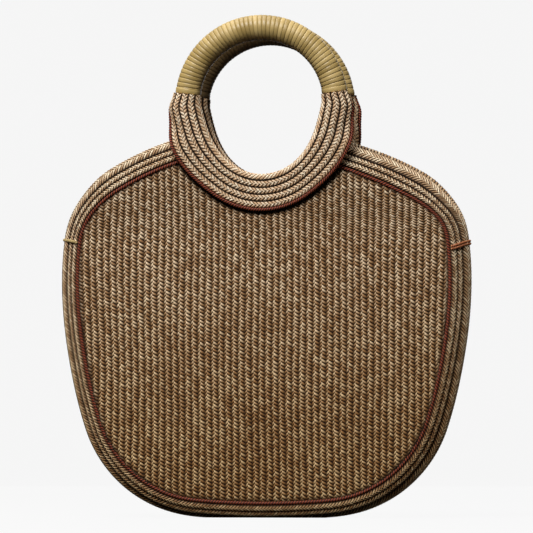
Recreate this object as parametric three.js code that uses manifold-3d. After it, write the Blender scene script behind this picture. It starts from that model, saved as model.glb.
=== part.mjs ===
// Straw tote bag: two mirrored halves of sewn braid, joined along a low rim, with a mouth that springs
// open above two bar tacks and a leather-bound ring handle set into a braid collar on each half.
// Millimetres, +Z up, the front faces -Y, the origin is under the middle of the base.

import * as THREE from 'three';
import { mergeVertices } from 'three/addons/utils/BufferGeometryUtils.js';
import Module from 'manifold-3d';

// Gaps between sewn pieces
const FIT_GAP = 0.3;
const ROW_GAP = 0.5;
const SEAM_GAP = 0.3;

// Panel outline, whose line is the middle of the rim piping: radii and turns from bottom to shoulder
const BOTTOM_RADIUS = 690;
const BOTTOM_TURN = 5;
const CORNER_RADIUS = 102;
const CORNER_TURN = 67;
const SIDE_RADIUS = 382;
const SIDE_TURN = 24.4;
const SHOULDER_RADIUS = 72;
const SHOULDER_TURN = 53;

// Braid, piping, lining and thread
const BRAID_THICKNESS = 2.8;
const BRAID_EDGE_DROP = 0.8;
const BRAID_CROWN_INSET = 0.25;
const PIPING_RADIUS = 2;
const PIPING_SINK = 1;
const LINING_THICKNESS = 1.2;
const LINING_INSET = 4.5;
const TACK_WIDTH = 3;
const TACK_THICKNESS = 1.4;
const TACK_DROP = 3.2;

// Rim: three braid rows, with their tilt from the panel under the bag, up its sides and where the halves
// part; up the sides the last row takes the tilt that brings it to the seam
const RIM_ROW_WIDTHS = [6.2, 6.2, 11];
const RIM_BASE_TILTS = [20, 45, 80];
const RIM_SIDE_TILTS = [37, 48];
const RIM_PARTED_TILTS = [20, 30, 42];
const RIM_PARTING_TURN = 54;
const BASE_FLAT = 1.5;
const MOUTH_REST_ANGLE = 4;

// Collar and ring handle; below the grip the ring is drawn in at its sides and stretched at its bottom
const RING_RADIUS = 67;
const RING_HEIGHT = 372;
const RING_PINCH = 3.25;
const RING_STRETCH = 2.5;
const COLLAR_ROW_WIDTHS = [10, 6.2, 6.2, 6.2, 6.2];
const COLLAR_FOLD_RADIUS = 6;
const COLLAR_NECK_RADIUS = 12.5;
const COLLAR_NECK_EASE = 1.6;
const COLLAR_NECK_WRAP = 160;
const COLLAR_NECK_START = -30;
const COLLAR_END_ANGLE = 7;
const COLLAR_OVERLAP = 12;
const CORE_CLEARANCE = 0.8;
const STRAP_THICKNESS = 1.6;
const STRAP_CLEARANCE = 0.8;
const STRAP_GAP = 0.7;
const STRAP_CROWN = 0.4;
const STRAP_LOOPS = 24;
const STRAP_STEPS = 10;
const STRAP_END_GAP = 0.8;

// Facets
const CORD_SIDES = 6;
const CORE_SIDES = 10;
const COLLAR_STEPS = 24;
const GRIP_STEPS = 20;
const ARC_STEPS = [2, 8, 4, 6, 5];

const rad = THREE.MathUtils.degToRad;
const { lerp, smoothstep } = THREE.MathUtils;

const materials = {
  panel: new THREE.MeshStandardMaterial({ color: 0x8f7355, roughness: 0.85, metalness: 0 }),
  rim: new THREE.MeshStandardMaterial({ color: 0xa2876a, roughness: 0.8, metalness: 0 }),
  collar: new THREE.MeshStandardMaterial({ color: 0xb39473, roughness: 0.75, metalness: 0 }),
  piping: new THREE.MeshStandardMaterial({ color: 0x7c4132, roughness: 0.8, metalness: 0 }),
  strap: new THREE.MeshStandardMaterial({ color: 0xa78f5c, roughness: 0.35, metalness: 0 }),
  core: new THREE.MeshStandardMaterial({ color: 0xc2a06c, roughness: 0.7, metalness: 0 }),
  lining: new THREE.MeshStandardMaterial({ color: 0xb29877, roughness: 0.9, metalness: 0 }),
  leftThread: new THREE.MeshStandardMaterial({ color: 0xb09a52, roughness: 0.6, metalness: 0 }),
  rightThread: new THREE.MeshStandardMaterial({ color: 0xa8653c, roughness: 0.6, metalness: 0 }),
};

// Derived heights and depths
const rimStart = PIPING_RADIUS + FIT_GAP;
const panelEdge = -(PIPING_RADIUS + FIT_GAP);
const rimReach = RIM_ROW_WIDTHS.reduce((sum, w, i) => sum + w * Math.cos(rad(RIM_BASE_TILTS[i])), rimStart);
const rimDepth = RIM_ROW_WIDTHS.reduce((sum, w, i) => sum + w * Math.sin(rad(RIM_BASE_TILTS[i])), 0);
const panelFace = rimDepth + SEAM_GAP / 2;
const bendFront = panelFace - PIPING_SINK + PIPING_RADIUS + FIT_GAP;
const outlineBottom = rimReach - BASE_FLAT;
const collarLength = COLLAR_ROW_WIDTHS.reduce((sum, w) => sum + w, 0);
const ringPlane = -(panelFace + FIT_GAP + BRAID_THICKNESS) + COLLAR_FOLD_RADIUS;
const gripRadius = COLLAR_NECK_RADIUS - BRAID_THICKNESS - CORE_CLEARANCE;
const gripStart = COLLAR_END_ANGLE + THREE.MathUtils.radToDeg(STRAP_END_GAP / RING_RADIUS);

// Outline arcs, the last of which closes the outline on the centre line
function makeArcs() {
  const radii = [BOTTOM_RADIUS, CORNER_RADIUS, SIDE_RADIUS, SHOULDER_RADIUS];
  const turns = [BOTTOM_TURN, CORNER_TURN, SIDE_TURN, SHOULDER_TURN];
  const arcs = [];
  let turned = 0;
  let x = 0;
  let z = outlineBottom;
  radii.forEach((radius, i) => {
    arcs.push({ start: turned, end: turned + turns[i], radius, x, z });
    x += radius * (Math.sin(rad(turned + turns[i])) - Math.sin(rad(turned)));
    z += radius * (Math.cos(rad(turned)) - Math.cos(rad(turned + turns[i])));
    turned += turns[i];
  });
  arcs.push({ start: turned, end: 180, radius: x / Math.sin(rad(turned)), x, z });
  return arcs;
}

const arcs = makeArcs();
const sideEnd = arcs[3].start;
const hingeHeight = arcs[3].z;

// Point at a heading on the outline, moved outwards by offset; a negative heading is on the left half
function outlinePoint(heading, offset) {
  const turn = Math.abs(heading);
  const arc = arcs.find((a) => turn <= a.end) ?? arcs[arcs.length - 1];
  const outX = Math.sin(rad(turn));
  const outZ = -Math.cos(rad(turn));
  const x = arc.x + arc.radius * (outX - Math.sin(rad(arc.start))) + offset * outX;
  const z = arc.z + arc.radius * (outZ + Math.cos(rad(arc.start))) + offset * outZ;
  return new THREE.Vector2(Math.sign(heading) * x, z);
}

// Headings from the bottom centre to the top centre, on one side
function headings(firstArc, lastArc) {
  const list = [arcs[firstArc].start];
  for (let i = firstArc; i <= lastArc; i += 1) {
    for (let k = 1; k <= ARC_STEPS[i]; k += 1) {
      list.push(lerp(arcs[i].start, arcs[i].end, k / ARC_STEPS[i]));
    }
  }
  return list;
}

const sewnSide = headings(0, 2);
const sewnHeadings = [...sewnSide.slice(1).map((h) => -h).reverse(), ...sewnSide];
const partedHeadings = headings(3, 4);

// Closed body through a row of rings; each ring is a list of points, with the same count all along
function loft(rings, looped = false) {
  const count = rings[0].length;
  const positions = rings.flat().flatMap((p) => [p.x, p.y, p.z]);
  const faces = [];
  const spans = looped ? rings.length : rings.length - 1;
  for (let i = 0; i < spans; i += 1) {
    const here = i * count;
    const next = ((i + 1) % rings.length) * count;
    for (let j = 0; j < count; j += 1) {
      const k = (j + 1) % count;
      faces.push(here + j, next + j, next + k, here + j, next + k, here + k);
    }
  }
  if (!looped) {
    const last = (rings.length - 1) * count;
    capFaces(rings[0]).forEach(([a, b, c]) => faces.push(a, b, c));
    capFaces(rings[rings.length - 1]).forEach(([a, b, c]) => faces.push(last + c, last + b, last + a));
  }
  return bodyFrom(positions, faces);
}

// Triangles over a flat ring, turned to follow the ring's own direction
function capFaces(ring) {
  const centre = ring.reduce((sum, p) => sum.add(p), new THREE.Vector3()).divideScalar(ring.length);
  const normal = new THREE.Vector3();
  ring.forEach((p, i) => {
    const q = ring[(i + 1) % ring.length];
    normal.add(new THREE.Vector3().crossVectors(p.clone().sub(centre), q.clone().sub(centre)));
  });
  normal.normalize();
  const across = ring[1].clone().sub(ring[0]);
  across.addScaledVector(normal, -across.dot(normal)).normalize();
  const up = new THREE.Vector3().crossVectors(normal, across);
  const flat = ring.map((p) => new THREE.Vector2(p.dot(across), p.dot(up)));
  return THREE.ShapeUtils.triangulateShape(flat, []);
}

// Indexed geometry whose faces point out, whichever way the rings ran
function bodyFrom(positions, faces) {
  const point = (i) => new THREE.Vector3().fromArray(positions, i * 3);
  let volume = 0;
  for (let i = 0; i < faces.length; i += 3) {
    volume += point(faces[i]).dot(point(faces[i + 1]).cross(point(faces[i + 2])));
  }
  const indices = volume < 0 ? faces.slice().reverse() : faces;
  const geometry = new THREE.BufferGeometry();
  geometry.setAttribute('position', new THREE.Float32BufferAttribute(positions, 3));
  geometry.setIndex(indices);
  geometry.computeVertexNormals();
  return geometry;
}

// Plate with a flat outline in X and Z, between two depths along Y
function plate(points, nearY, farY) {
  const shape = new THREE.Shape(points);
  const geometry = new THREE.ExtrudeGeometry(shape, { depth: farY - nearY, bevelEnabled: false });
  geometry.rotateX(Math.PI / 2);
  return geometry.translate(0, farY, 0);
}

const wasm = await Module();
wasm.setup();

function toSolid(geometry) {
  const bare = geometry.clone();
  bare.deleteAttribute('normal');
  bare.deleteAttribute('uv');
  const merged = mergeVertices(bare);
  return new wasm.Manifold(new wasm.Mesh({
    numProp: 3,
    vertProperties: new Float32Array(merged.attributes.position.array),
    triVerts: new Uint32Array(merged.index.array),
  }));
}

// One body with others cut away from it
function cut(geometry, ...tools) {
  let solid = toSolid(geometry);
  tools.forEach((tool) => {
    solid = solid.subtract(toSolid(tool));
  });
  const mesh = solid.getMesh();
  return bodyFrom(Array.from(mesh.vertProperties), Array.from(mesh.triVerts));
}

function addMesh(group, name, geometry, material) {
  const mesh = new THREE.Mesh(geometry, material);
  mesh.name = name;
  group.add(mesh);
}

// Rim tilts at a heading where the halves are sewn: from the base round the corner to the sides
function sewnTilts(heading) {
  const eased = smoothstep(Math.abs(heading), arcs[1].start, arcs[1].end);
  const tilts = RIM_SIDE_TILTS.map((tilt, i) => rad(lerp(RIM_BASE_TILTS[i], tilt, eased)));
  const depth = tilts.reduce((sum, tilt, i) => sum + RIM_ROW_WIDTHS[i] * Math.sin(tilt), 0);
  return [...tilts, Math.asin((rimDepth - depth) / RIM_ROW_WIDTHS[tilts.length])];
}

// Rim tilts at any heading: as sewn up to the tacks, then easing to the parted ones
function rimTilts(heading) {
  const eased = smoothstep(Math.abs(heading), sideEnd, sideEnd + RIM_PARTING_TURN);
  return sewnTilts(heading).map((tilt, i) => lerp(tilt, rad(RIM_PARTED_TILTS[i]), eased));
}

// Corners of the rim's outer face across its width, as offset from the outline and depth
function rimProfile(heading) {
  const corners = [new THREE.Vector2(rimStart, -panelFace)];
  rimTilts(heading).forEach((tilt, i) => {
    const step = new THREE.Vector2(Math.cos(tilt), Math.sin(tilt)).multiplyScalar(RIM_ROW_WIDTHS[i]);
    corners.push(corners[i].clone().add(step));
  });
  return corners;
}

// Section of one rim row: a crowned outer face, a flat inner one, and mitred sides
function rimRowSection(heading, row) {
  const tilts = rimTilts(heading);
  const start = rimProfile(heading)[row];
  const width = RIM_ROW_WIDTHS[row];
  const seamMitre = rad(90) - sewnTilts(heading)[row];
  const startMitre = row > 0 ? (tilts[row] - tilts[row - 1]) / 2 : tilts[row];
  const endMitre = row < tilts.length - 1 ? (tilts[row + 1] - tilts[row]) / 2 : seamMitre;
  const along = new THREE.Vector2(Math.cos(tilts[row]), Math.sin(tilts[row]));
  const inward = new THREE.Vector2(-Math.sin(tilts[row]), Math.cos(tilts[row]));
  const corner = (reach, depth) => (
    start.clone().addScaledVector(along, reach).addScaledVector(inward, depth)
  );
  const nearEdge = (depth) => ROW_GAP / 2 + depth * Math.tan(startMitre);
  const farEdge = (depth) => width - ROW_GAP / 2 - depth * Math.tan(endMitre);
  return [
    corner(nearEdge(BRAID_EDGE_DROP), BRAID_EDGE_DROP),
    corner(width * BRAID_CROWN_INSET, 0),
    corner(width * (1 - BRAID_CROWN_INSET), 0),
    corner(farEdge(BRAID_EDGE_DROP), BRAID_EDGE_DROP),
    corner(farEdge(BRAID_THICKNESS), BRAID_THICKNESS),
    corner(nearEdge(BRAID_THICKNESS), BRAID_THICKNESS),
  ];
}

// A section of offsets and depths, set up across the outline at a heading
function acrossOutline(heading, section, shift = 0) {
  const side = heading < 0 ? -1 : 1;
  const turn = rad(Math.abs(heading));
  return section.map((corner) => {
    const p = outlinePoint(heading, corner.x);
    return new THREE.Vector3(p.x + side * shift * Math.cos(turn), corner.y, p.y + shift * Math.sin(turn));
  });
}

// Round section about a middle point
function roundSection(middle, radius, sides) {
  return Array.from({ length: sides }, (_, i) => {
    const angle = (i / sides) * 2 * Math.PI;
    return new THREE.Vector2(middle.x + radius * Math.cos(angle), middle.y + radius * Math.sin(angle));
  });
}

const pipingMiddle = new THREE.Vector2(0, -panelFace + PIPING_SINK);
const pipingSection = roundSection(pipingMiddle, PIPING_RADIUS, CORD_SIDES);

// Bands along the outline: sewn ones run under the bag, parted ones up one side to the collar
function sewnBand(sectionAt) {
  const lastIndex = sewnHeadings.length - 1;
  return loft(sewnHeadings.map((heading, i) => {
    const shift = i === 0 || i === lastIndex ? -FIT_GAP / 2 : 0;
    return acrossOutline(heading, sectionAt(heading), shift);
  }));
}

function partedBand(side, sectionAt) {
  return loft(partedHeadings.map((heading, i) => {
    const shift = i === 0 ? FIT_GAP / 2 : 0;
    return acrossOutline(side * heading, sectionAt(heading), shift);
  }));
}

// How far an angle about the ring is below the grip, from 0 level with the ring's middle to 1 at its bottom
function ringDrop(angle) {
  return Math.max(-Math.sin(rad(angle)), 0);
}

// Reach of the ring's line from its middle
function ringReach(angle) {
  const drop = ringDrop(angle);
  return RING_RADIUS - 4 * RING_PINCH * drop * (1 - drop) + RING_STRETCH * drop * drop;
}

// Collar shape at an angle about the ring: fold radius, wrap of the fold, and points across the rows
function collarFold(angle) {
  return lerp(COLLAR_NECK_RADIUS, COLLAR_FOLD_RADIUS, ringDrop(angle) ** COLLAR_NECK_EASE);
}

function collarWrap(angle) {
  const eased = smoothstep(angle, COLLAR_NECK_START, 0);
  return rad(lerp(90, COLLAR_NECK_WRAP, eased));
}

// Point on the collar at a length from its inner edge and a depth below its face, from the ring's line
function collarPoint(angle, length, depth) {
  const fold = collarFold(angle);
  const wrap = collarWrap(angle);
  const bend = Math.min(length / fold, wrap);
  const flat = Math.max(length - fold * wrap, 0);
  const reach = -(fold - depth) * Math.cos(bend) + flat * Math.sin(bend);
  const rise = -(fold - depth) * Math.sin(bend) - flat * Math.cos(bend);
  return new THREE.Vector2(reach, rise);
}

function collarPipingMiddle(angle) {
  return collarPoint(angle, collarLength + FIT_GAP + PIPING_RADIUS, BRAID_THICKNESS - PIPING_RADIUS);
}

// A section given from the ring's line, set up across the ring; plain angles run up both sides from below
function acrossRing(angle, section) {
  return section.map((corner) => {
    const reach = ringReach(angle) + corner.x;
    return new THREE.Vector3(
      reach * Math.cos(rad(angle)),
      ringPlane + corner.y,
      RING_HEIGHT + reach * Math.sin(rad(angle)),
    );
  });
}

// Collar angles from the left end, under the ring, to the right end, with the rise of the nearer side
const collarAngles = Array.from({ length: COLLAR_STEPS + 1 }, (_, i) => (
  lerp(-180 - COLLAR_END_ANGLE, COLLAR_END_ANGLE, i / COLLAR_STEPS)
));
const riseAngle = (angle) => (angle < -90 ? -180 - angle : angle);

function collarRow(row) {
  const start = COLLAR_ROW_WIDTHS.slice(0, row).reduce((sum, w) => sum + w, 0) + ROW_GAP / 2;
  const end = start + COLLAR_ROW_WIDTHS[row] - ROW_GAP;
  const middle = (start + end) / 2;
  return loft(collarAngles.map((angle) => {
    const at = (length, depth) => collarPoint(riseAngle(angle), length, depth);
    return acrossRing(angle, [
      at(start, BRAID_EDGE_DROP),
      at(middle, 0),
      at(end, BRAID_EDGE_DROP),
      at(end, BRAID_THICKNESS),
      at(middle, BRAID_THICKNESS),
      at(start, BRAID_THICKNESS),
    ]);
  }));
}

function collarPiping() {
  return loft(collarAngles.map((angle) => {
    const middle = collarPipingMiddle(riseAngle(angle));
    return acrossRing(angle, roundSection(middle, PIPING_RADIUS, CORD_SIDES));
  }));
}

// Solid inside the collar's outer edge, grown by a margin, through the whole depth of the bag
function collarTool(margin) {
  const points = collarAngles.map((angle) => {
    const reach = ringReach(angle) + collarPipingMiddle(riseAngle(angle)).x + PIPING_RADIUS + margin;
    return new THREE.Vector2(reach * Math.cos(rad(angle)), RING_HEIGHT + reach * Math.sin(rad(angle)));
  });
  const reach = RING_RADIUS + COLLAR_NECK_RADIUS;
  return plate(points, -(panelFace + reach), panelFace + reach);
}

// Ring core: slim where the collar folds over it, full in the grip
function ringCore() {
  const grip = Array.from({ length: GRIP_STEPS - 1 }, (_, i) => (
    lerp(COLLAR_END_ANGLE, 180 - COLLAR_END_ANGLE, (i + 1) / GRIP_STEPS)
  ));
  return loft([...collarAngles, ...grip].map((angle) => {
    const radius = collarFold(riseAngle(angle)) - BRAID_THICKNESS - CORE_CLEARANCE;
    return acrossRing(angle, roundSection(new THREE.Vector2(), radius, CORE_SIDES));
  }), true);
}

// Leather strap: one strip wound round the grip, its edges a gap apart from turn to turn
function strapPoint(turn, across, radius) {
  const pitch = (180 - 2 * gripStart) / (STRAP_LOOPS + 1);
  const width = pitch - THREE.MathUtils.radToDeg(STRAP_GAP / RING_RADIUS);
  const spin = turn * 2 * Math.PI;
  const corner = new THREE.Vector2(radius * Math.cos(spin), radius * Math.sin(spin));
  return acrossRing(gripStart + turn * pitch + across * width, [corner])[0];
}

const strapInner = gripRadius + STRAP_CLEARANCE;
const strapOuter = strapInner + STRAP_THICKNESS;

function strap() {
  const count = STRAP_LOOPS * STRAP_STEPS;
  const rings = Array.from({ length: count + 1 }, (_, i) => {
    const turn = i / STRAP_STEPS;
    return [
      strapPoint(turn, 0, strapInner),
      strapPoint(turn, 1, strapInner),
      strapPoint(turn, 1, strapOuter - STRAP_CROWN),
      strapPoint(turn, 0.5, strapOuter),
      strapPoint(turn, 0, strapOuter - STRAP_CROWN),
    ];
  });
  return loft(rings);
}

// Least distance from one turn's edge to the next turn's edge
function strapSelfGap() {
  let least = Infinity;
  for (let i = 0; i <= (STRAP_LOOPS - 1) * STRAP_STEPS; i += 1) {
    const turn = i / STRAP_STEPS;
    [strapInner, strapOuter - STRAP_CROWN].forEach((radius) => {
      least = Math.min(least, strapPoint(turn, 1, radius).distanceTo(strapPoint(turn + 1, 0, radius)));
    });
  }
  return least;
}

// Outline of a panel or lining piece, below or above the line where the halves bend
function lowerOutline(offset, top) {
  const points = sewnHeadings.map((heading) => outlinePoint(heading, offset));
  return points.map((p) => new THREE.Vector2(p.x, Math.min(p.y, top)));
}

function upperOutline(offset, bottom) {
  const right = partedHeadings.map((heading) => outlinePoint(heading, offset));
  const left = partedHeadings.slice(0, -1).map((heading) => outlinePoint(-heading, offset)).reverse();
  return [...right, ...left].map((p) => new THREE.Vector2(p.x, Math.max(p.y, bottom)));
}

const lowerTop = hingeHeight - FIT_GAP / 2;
const upperBottom = hingeHeight + FIT_GAP / 2;
const liningFace = panelFace - BRAID_THICKNESS - FIT_GAP;
const groundSize = 2 * BOTTOM_RADIUS;
const ground = new THREE.BoxGeometry(groundSize, groundSize, groundSize).translate(0, 0, -groundSize / 2);

// One half of the bag, built as the front one; its sides are named as seen from the front. Its upper pieces
// stand open about a bend line that runs just in front of the piping, level with the top of the sewn sides
function makeHalf(prefix, leftName, rightName) {
  const half = new THREE.Group();
  const bend = new THREE.Group();
  bend.position.set(0, -bendFront, hingeHeight);
  bend.rotation.x = rad(MOUTH_REST_ANGLE);
  const upper = new THREE.Group();
  upper.position.set(0, bendFront, -hingeHeight);
  bend.add(upper);
  half.add(bend);
  const sides = [[-1, leftName], [1, rightName]];
  const panelBack = -panelFace + BRAID_THICKNESS;
  const panelCut = collarTool(-COLLAR_OVERLAP);
  const rimCut = collarTool(FIT_GAP);

  const lowerPanel = plate(lowerOutline(panelEdge, lowerTop), -panelFace, panelBack);
  addMesh(half, `${prefix}_panel_lower`, lowerPanel, materials.panel);
  const upperPanel = plate(upperOutline(panelEdge, upperBottom), -panelFace, panelBack);
  addMesh(upper, `${prefix}_panel_upper`, cut(upperPanel, panelCut), materials.panel);

  RIM_ROW_WIDTHS.forEach((_, row) => {
    const sectionAt = (heading) => rimRowSection(heading, row);
    addMesh(half, `${prefix}_rim_row_${row + 1}_lower`, cut(sewnBand(sectionAt), ground), materials.rim);
    sides.forEach(([side, sideName]) => {
      const band = cut(partedBand(side, sectionAt), rimCut);
      addMesh(upper, `${prefix}_rim_row_${row + 1}_upper_${sideName}`, band, materials.rim);
    });
  });

  addMesh(half, `${prefix}_rim_piping_lower`, sewnBand(() => pipingSection), materials.piping);
  sides.forEach(([side, sideName]) => {
    const cord = cut(partedBand(side, () => pipingSection), rimCut);
    addMesh(upper, `${prefix}_rim_piping_upper_${sideName}`, cord, materials.piping);
  });

  COLLAR_ROW_WIDTHS.forEach((_, row) => {
    addMesh(upper, `${prefix}_collar_row_${row + 1}`, collarRow(row), materials.collar);
  });
  addMesh(upper, `${prefix}_collar_piping`, collarPiping(), materials.piping);
  addMesh(upper, `${prefix}_handle_core`, ringCore(), materials.core);
  addMesh(upper, `${prefix}_handle_strap`, strap(), materials.strap);

  const liningBack = -liningFace + LINING_THICKNESS;
  const upperLining = plate(upperOutline(-LINING_INSET, upperBottom), -liningFace, liningBack);
  addMesh(upper, `${prefix}_lining_upper`, cut(upperLining, panelCut), materials.lining);
  return half;
}

// Lower lining: a pouch open at the top, inside both halves
function lowerLining() {
  const outer = plate(lowerOutline(-LINING_INSET, lowerTop), -liningFace, liningFace);
  const innerFace = liningFace - LINING_THICKNESS;
  const innerPoints = lowerOutline(-LINING_INSET - LINING_THICKNESS, lowerTop);
  const last = innerPoints[innerPoints.length - 1];
  const mouth = [1, -1].map((side) => new THREE.Vector2(side * last.x, lowerTop + RING_HEIGHT));
  return cut(outer, plate([...innerPoints, ...mouth], -innerFace, innerFace));
}

// Bar tack: a flat thread bar from the front piping over the sewn edge to the back piping
function barTack(side) {
  const heading = sideEnd - THREE.MathUtils.radToDeg(TACK_DROP / SIDE_RADIUS);
  const front = rimProfile(heading);
  front[front.length - 1].y = 0;
  const back = front.slice(0, -1).reverse().map((p) => new THREE.Vector2(p.x, -p.y));
  const line = [...front, ...back];
  const raised = (distance) => line.map((p, i) => {
    const before = line[Math.max(i - 1, 0)];
    const after = line[Math.min(i + 1, line.length - 1)];
    const inDir = p.clone().sub(before).normalize();
    const outDir = after.clone().sub(p).normalize();
    const along = inDir.add(outDir).normalize();
    const normal = new THREE.Vector2(along.y, -along.x);
    const spread = i > 0 && i < line.length - 1 ? Math.abs(along.dot(outDir)) : 1;
    return p.clone().addScaledVector(normal, distance / spread);
  });
  const lowLine = raised(FIT_GAP);
  const highLine = raised(FIT_GAP + TACK_THICKNESS);
  return loft(line.map((_, i) => {
    const section = [lowLine[i], highLine[i]];
    const near = acrossOutline(side * heading, section, -TACK_WIDTH / 2);
    const far = acrossOutline(side * heading, section, TACK_WIDTH / 2);
    return [near[0], near[1], far[1], far[0]];
  }));
}

const bag = new THREE.Group();
const frontHalf = makeHalf('front', 'left', 'right');
const backHalf = makeHalf('back', 'right', 'left');
backHalf.rotation.z = Math.PI;
bag.add(frontHalf, backHalf);
addMesh(bag, 'lining_lower', lowerLining(), materials.lining);
addMesh(bag, 'left_bar_tack', barTack(-1), materials.leftThread);
addMesh(bag, 'right_bar_tack', barTack(1), materials.rightThread);

console.log(`least gap between the turns of the strap: ${strapSelfGap().toFixed(2)} mm`);

export default bag;
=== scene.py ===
# %% [markdown]
# # A straw tote bag, dressed piece by piece
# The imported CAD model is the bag's skeleton: plain bands, plates and cords in the right places. This lesson
# covers it with what the real bag is made of: plaited straw braid sewn row by row, twisted piping, a
# leather strip wound round each ring handle, and a cotton lining. Every piece is a surface worked out by a
# formula, because plaits, twists and windings all repeat evenly along a line.

# %% Load the frame
import math

import bpy
import numpy as np
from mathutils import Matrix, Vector


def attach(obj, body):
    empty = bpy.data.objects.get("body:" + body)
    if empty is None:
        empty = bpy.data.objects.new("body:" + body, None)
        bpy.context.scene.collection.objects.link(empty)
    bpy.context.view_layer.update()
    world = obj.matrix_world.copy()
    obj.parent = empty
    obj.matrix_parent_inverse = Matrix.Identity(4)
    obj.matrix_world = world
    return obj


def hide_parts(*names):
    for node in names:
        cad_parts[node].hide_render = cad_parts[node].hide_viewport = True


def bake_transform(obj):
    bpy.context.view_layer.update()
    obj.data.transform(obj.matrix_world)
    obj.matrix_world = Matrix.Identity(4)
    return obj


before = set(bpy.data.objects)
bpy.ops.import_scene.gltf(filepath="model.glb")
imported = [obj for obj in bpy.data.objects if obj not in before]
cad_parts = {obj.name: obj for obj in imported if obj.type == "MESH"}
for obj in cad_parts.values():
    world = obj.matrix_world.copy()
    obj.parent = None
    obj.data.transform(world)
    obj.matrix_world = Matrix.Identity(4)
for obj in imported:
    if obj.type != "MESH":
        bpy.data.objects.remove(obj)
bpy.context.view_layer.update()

# %% [markdown]
# ## The driving sizes
# The sizes repeat the CAD model's own, in metres, so that each surface lands on the solid it replaces. The
# outline is the line of the rim piping: four arcs up each side and a fifth that closes it at the top.

# %% Sizes
MM = 0.001
FIT_GAP = 0.3 * MM
SEAM_GAP = 0.3 * MM

ARC_RADII = np.array([690, 102, 382, 72]) * MM
ARC_TURNS = [5, 67, 24.4, 53]

BRAID_THICKNESS = 2.8 * MM
PIPING_RADIUS = 2.0 * MM
PIPING_SINK = 1.0 * MM
RIM_WIDTHS = np.array([6.2, 6.2, 11]) * MM
RIM_BASE_TILTS = [20, 45, 80]
RIM_SIDE_TILTS = [37, 48]
RIM_PARTED_TILTS = [20, 30, 42]
RIM_PARTING_TURN = 54
BASE_FLAT = 1.5 * MM
MOUTH_REST_ANGLE = 4

RING_RADIUS = 67 * MM
RING_HEIGHT = 372 * MM
RING_PINCH = 3.25 * MM
RING_STRETCH = 2.5 * MM
COLLAR_WIDTHS = np.array([10, 6.2, 6.2, 6.2, 6.2]) * MM
COLLAR_FOLD_RADIUS = 6 * MM
COLLAR_NECK_RADIUS = 12.5 * MM
COLLAR_NECK_EASE = 1.6
COLLAR_NECK_WRAP = 160
COLLAR_NECK_START = -30
COLLAR_END_ANGLE = 7
CORE_CLEARANCE = 0.8 * MM
STRAP_CLEARANCE = 0.8 * MM
STRAP_THICKNESS = 1.6 * MM

rim_start = PIPING_RADIUS + FIT_GAP
rim_reach = rim_start + sum(RIM_WIDTHS * np.cos(np.radians(RIM_BASE_TILTS)))
rim_depth = sum(RIM_WIDTHS * np.sin(np.radians(RIM_BASE_TILTS)))
panel_face = rim_depth + SEAM_GAP / 2
bend_front = panel_face - PIPING_SINK + PIPING_RADIUS + FIT_GAP
collar_length = sum(COLLAR_WIDTHS)
ring_plane = COLLAR_FOLD_RADIUS - panel_face - FIT_GAP - BRAID_THICKNESS
strap_inner = COLLAR_NECK_RADIUS - BRAID_THICKNESS - CORE_CLEARANCE + STRAP_CLEARANCE
strap_outer = strap_inner + STRAP_THICKNESS
print("panel face at", round(panel_face / MM, 1), "mm; rim", round(rim_reach / MM, 1), "mm wide")

# %% [markdown]
# ## The outline
# A point on the outline could be found by its length along the line. Its heading is simpler: the direction
# in which the line runs there, 0 under the bag, 90 half way up the right side, and negative on the left.
# Headings make arcs easy, because a round stretch turns evenly.


# %% Outline
def smooth(x, low, high):
    """0 below low, 1 above high, and the smooth cubic 3 t^2 - 2 t^3 between them."""
    t = np.clip((x - low) / (high - low), 0, 1)
    return t * t * (3 - 2 * t)


def outline_arcs():
    """Rows of (start heading, radius, x, z), one for each arc; the last closes on the centre line."""
    rows = []
    turned, x, z = 0.0, 0.0, rim_reach - BASE_FLAT
    for radius, turn in zip(ARC_RADII, ARC_TURNS):
        rows.append((turned, radius, x, z))
        start, end = math.radians(turned), math.radians(turned + turn)
        x += radius * (math.sin(end) - math.sin(start))
        z += radius * (math.cos(start) - math.cos(end))
        turned += turn
    rows.append((turned, x / math.sin(math.radians(turned)), x, z))
    return np.array(rows)


ARCS = outline_arcs()
SIDE_END = ARCS[3, 0]
BEND_HEIGHT = ARCS[3, 3]


def outline_point(heading, offset):
    """x and z on the outline at a heading: the arc's start plus its radius times the turn of the outward
    direction (sin h, -cos h), moved outwards by the offset; a negative heading mirrors x."""
    turn = np.abs(heading)
    arc = ARCS[np.searchsorted(ARCS[:, 0], turn, side="right") - 1]
    start, radius, x, z = np.moveaxis(arc, -1, 0)
    out_x = np.sin(np.radians(turn))
    out_z = -np.cos(np.radians(turn))
    x = x + radius * (out_x - np.sin(np.radians(start))) + offset * out_x
    z = z + radius * (out_z + np.cos(np.radians(start))) + offset * out_z
    return np.sign(heading) * x, z


HALF_WIDTH = outline_point(np.array(90.0), 0)[0]
print("bend line at", round(BEND_HEIGHT / MM, 1), "mm; outline closes at",
      round(outline_point(np.array(180.0), 0)[1] / MM, 1), "mm")

# %% [markdown]
# ## How the soft bag settles
# A straw bag is limp, and no two shoulders sag alike. Above the bar tacks each half stands a little open,
# so its points turn about a bend line; the shoulders sink, more on one side than on the other, and the
# sides fill out. A cloth simulation could do this. Three smooth formulas do it with less, and every piece
# of a half can pass through the same ones and stay joined to its neighbours.

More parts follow.
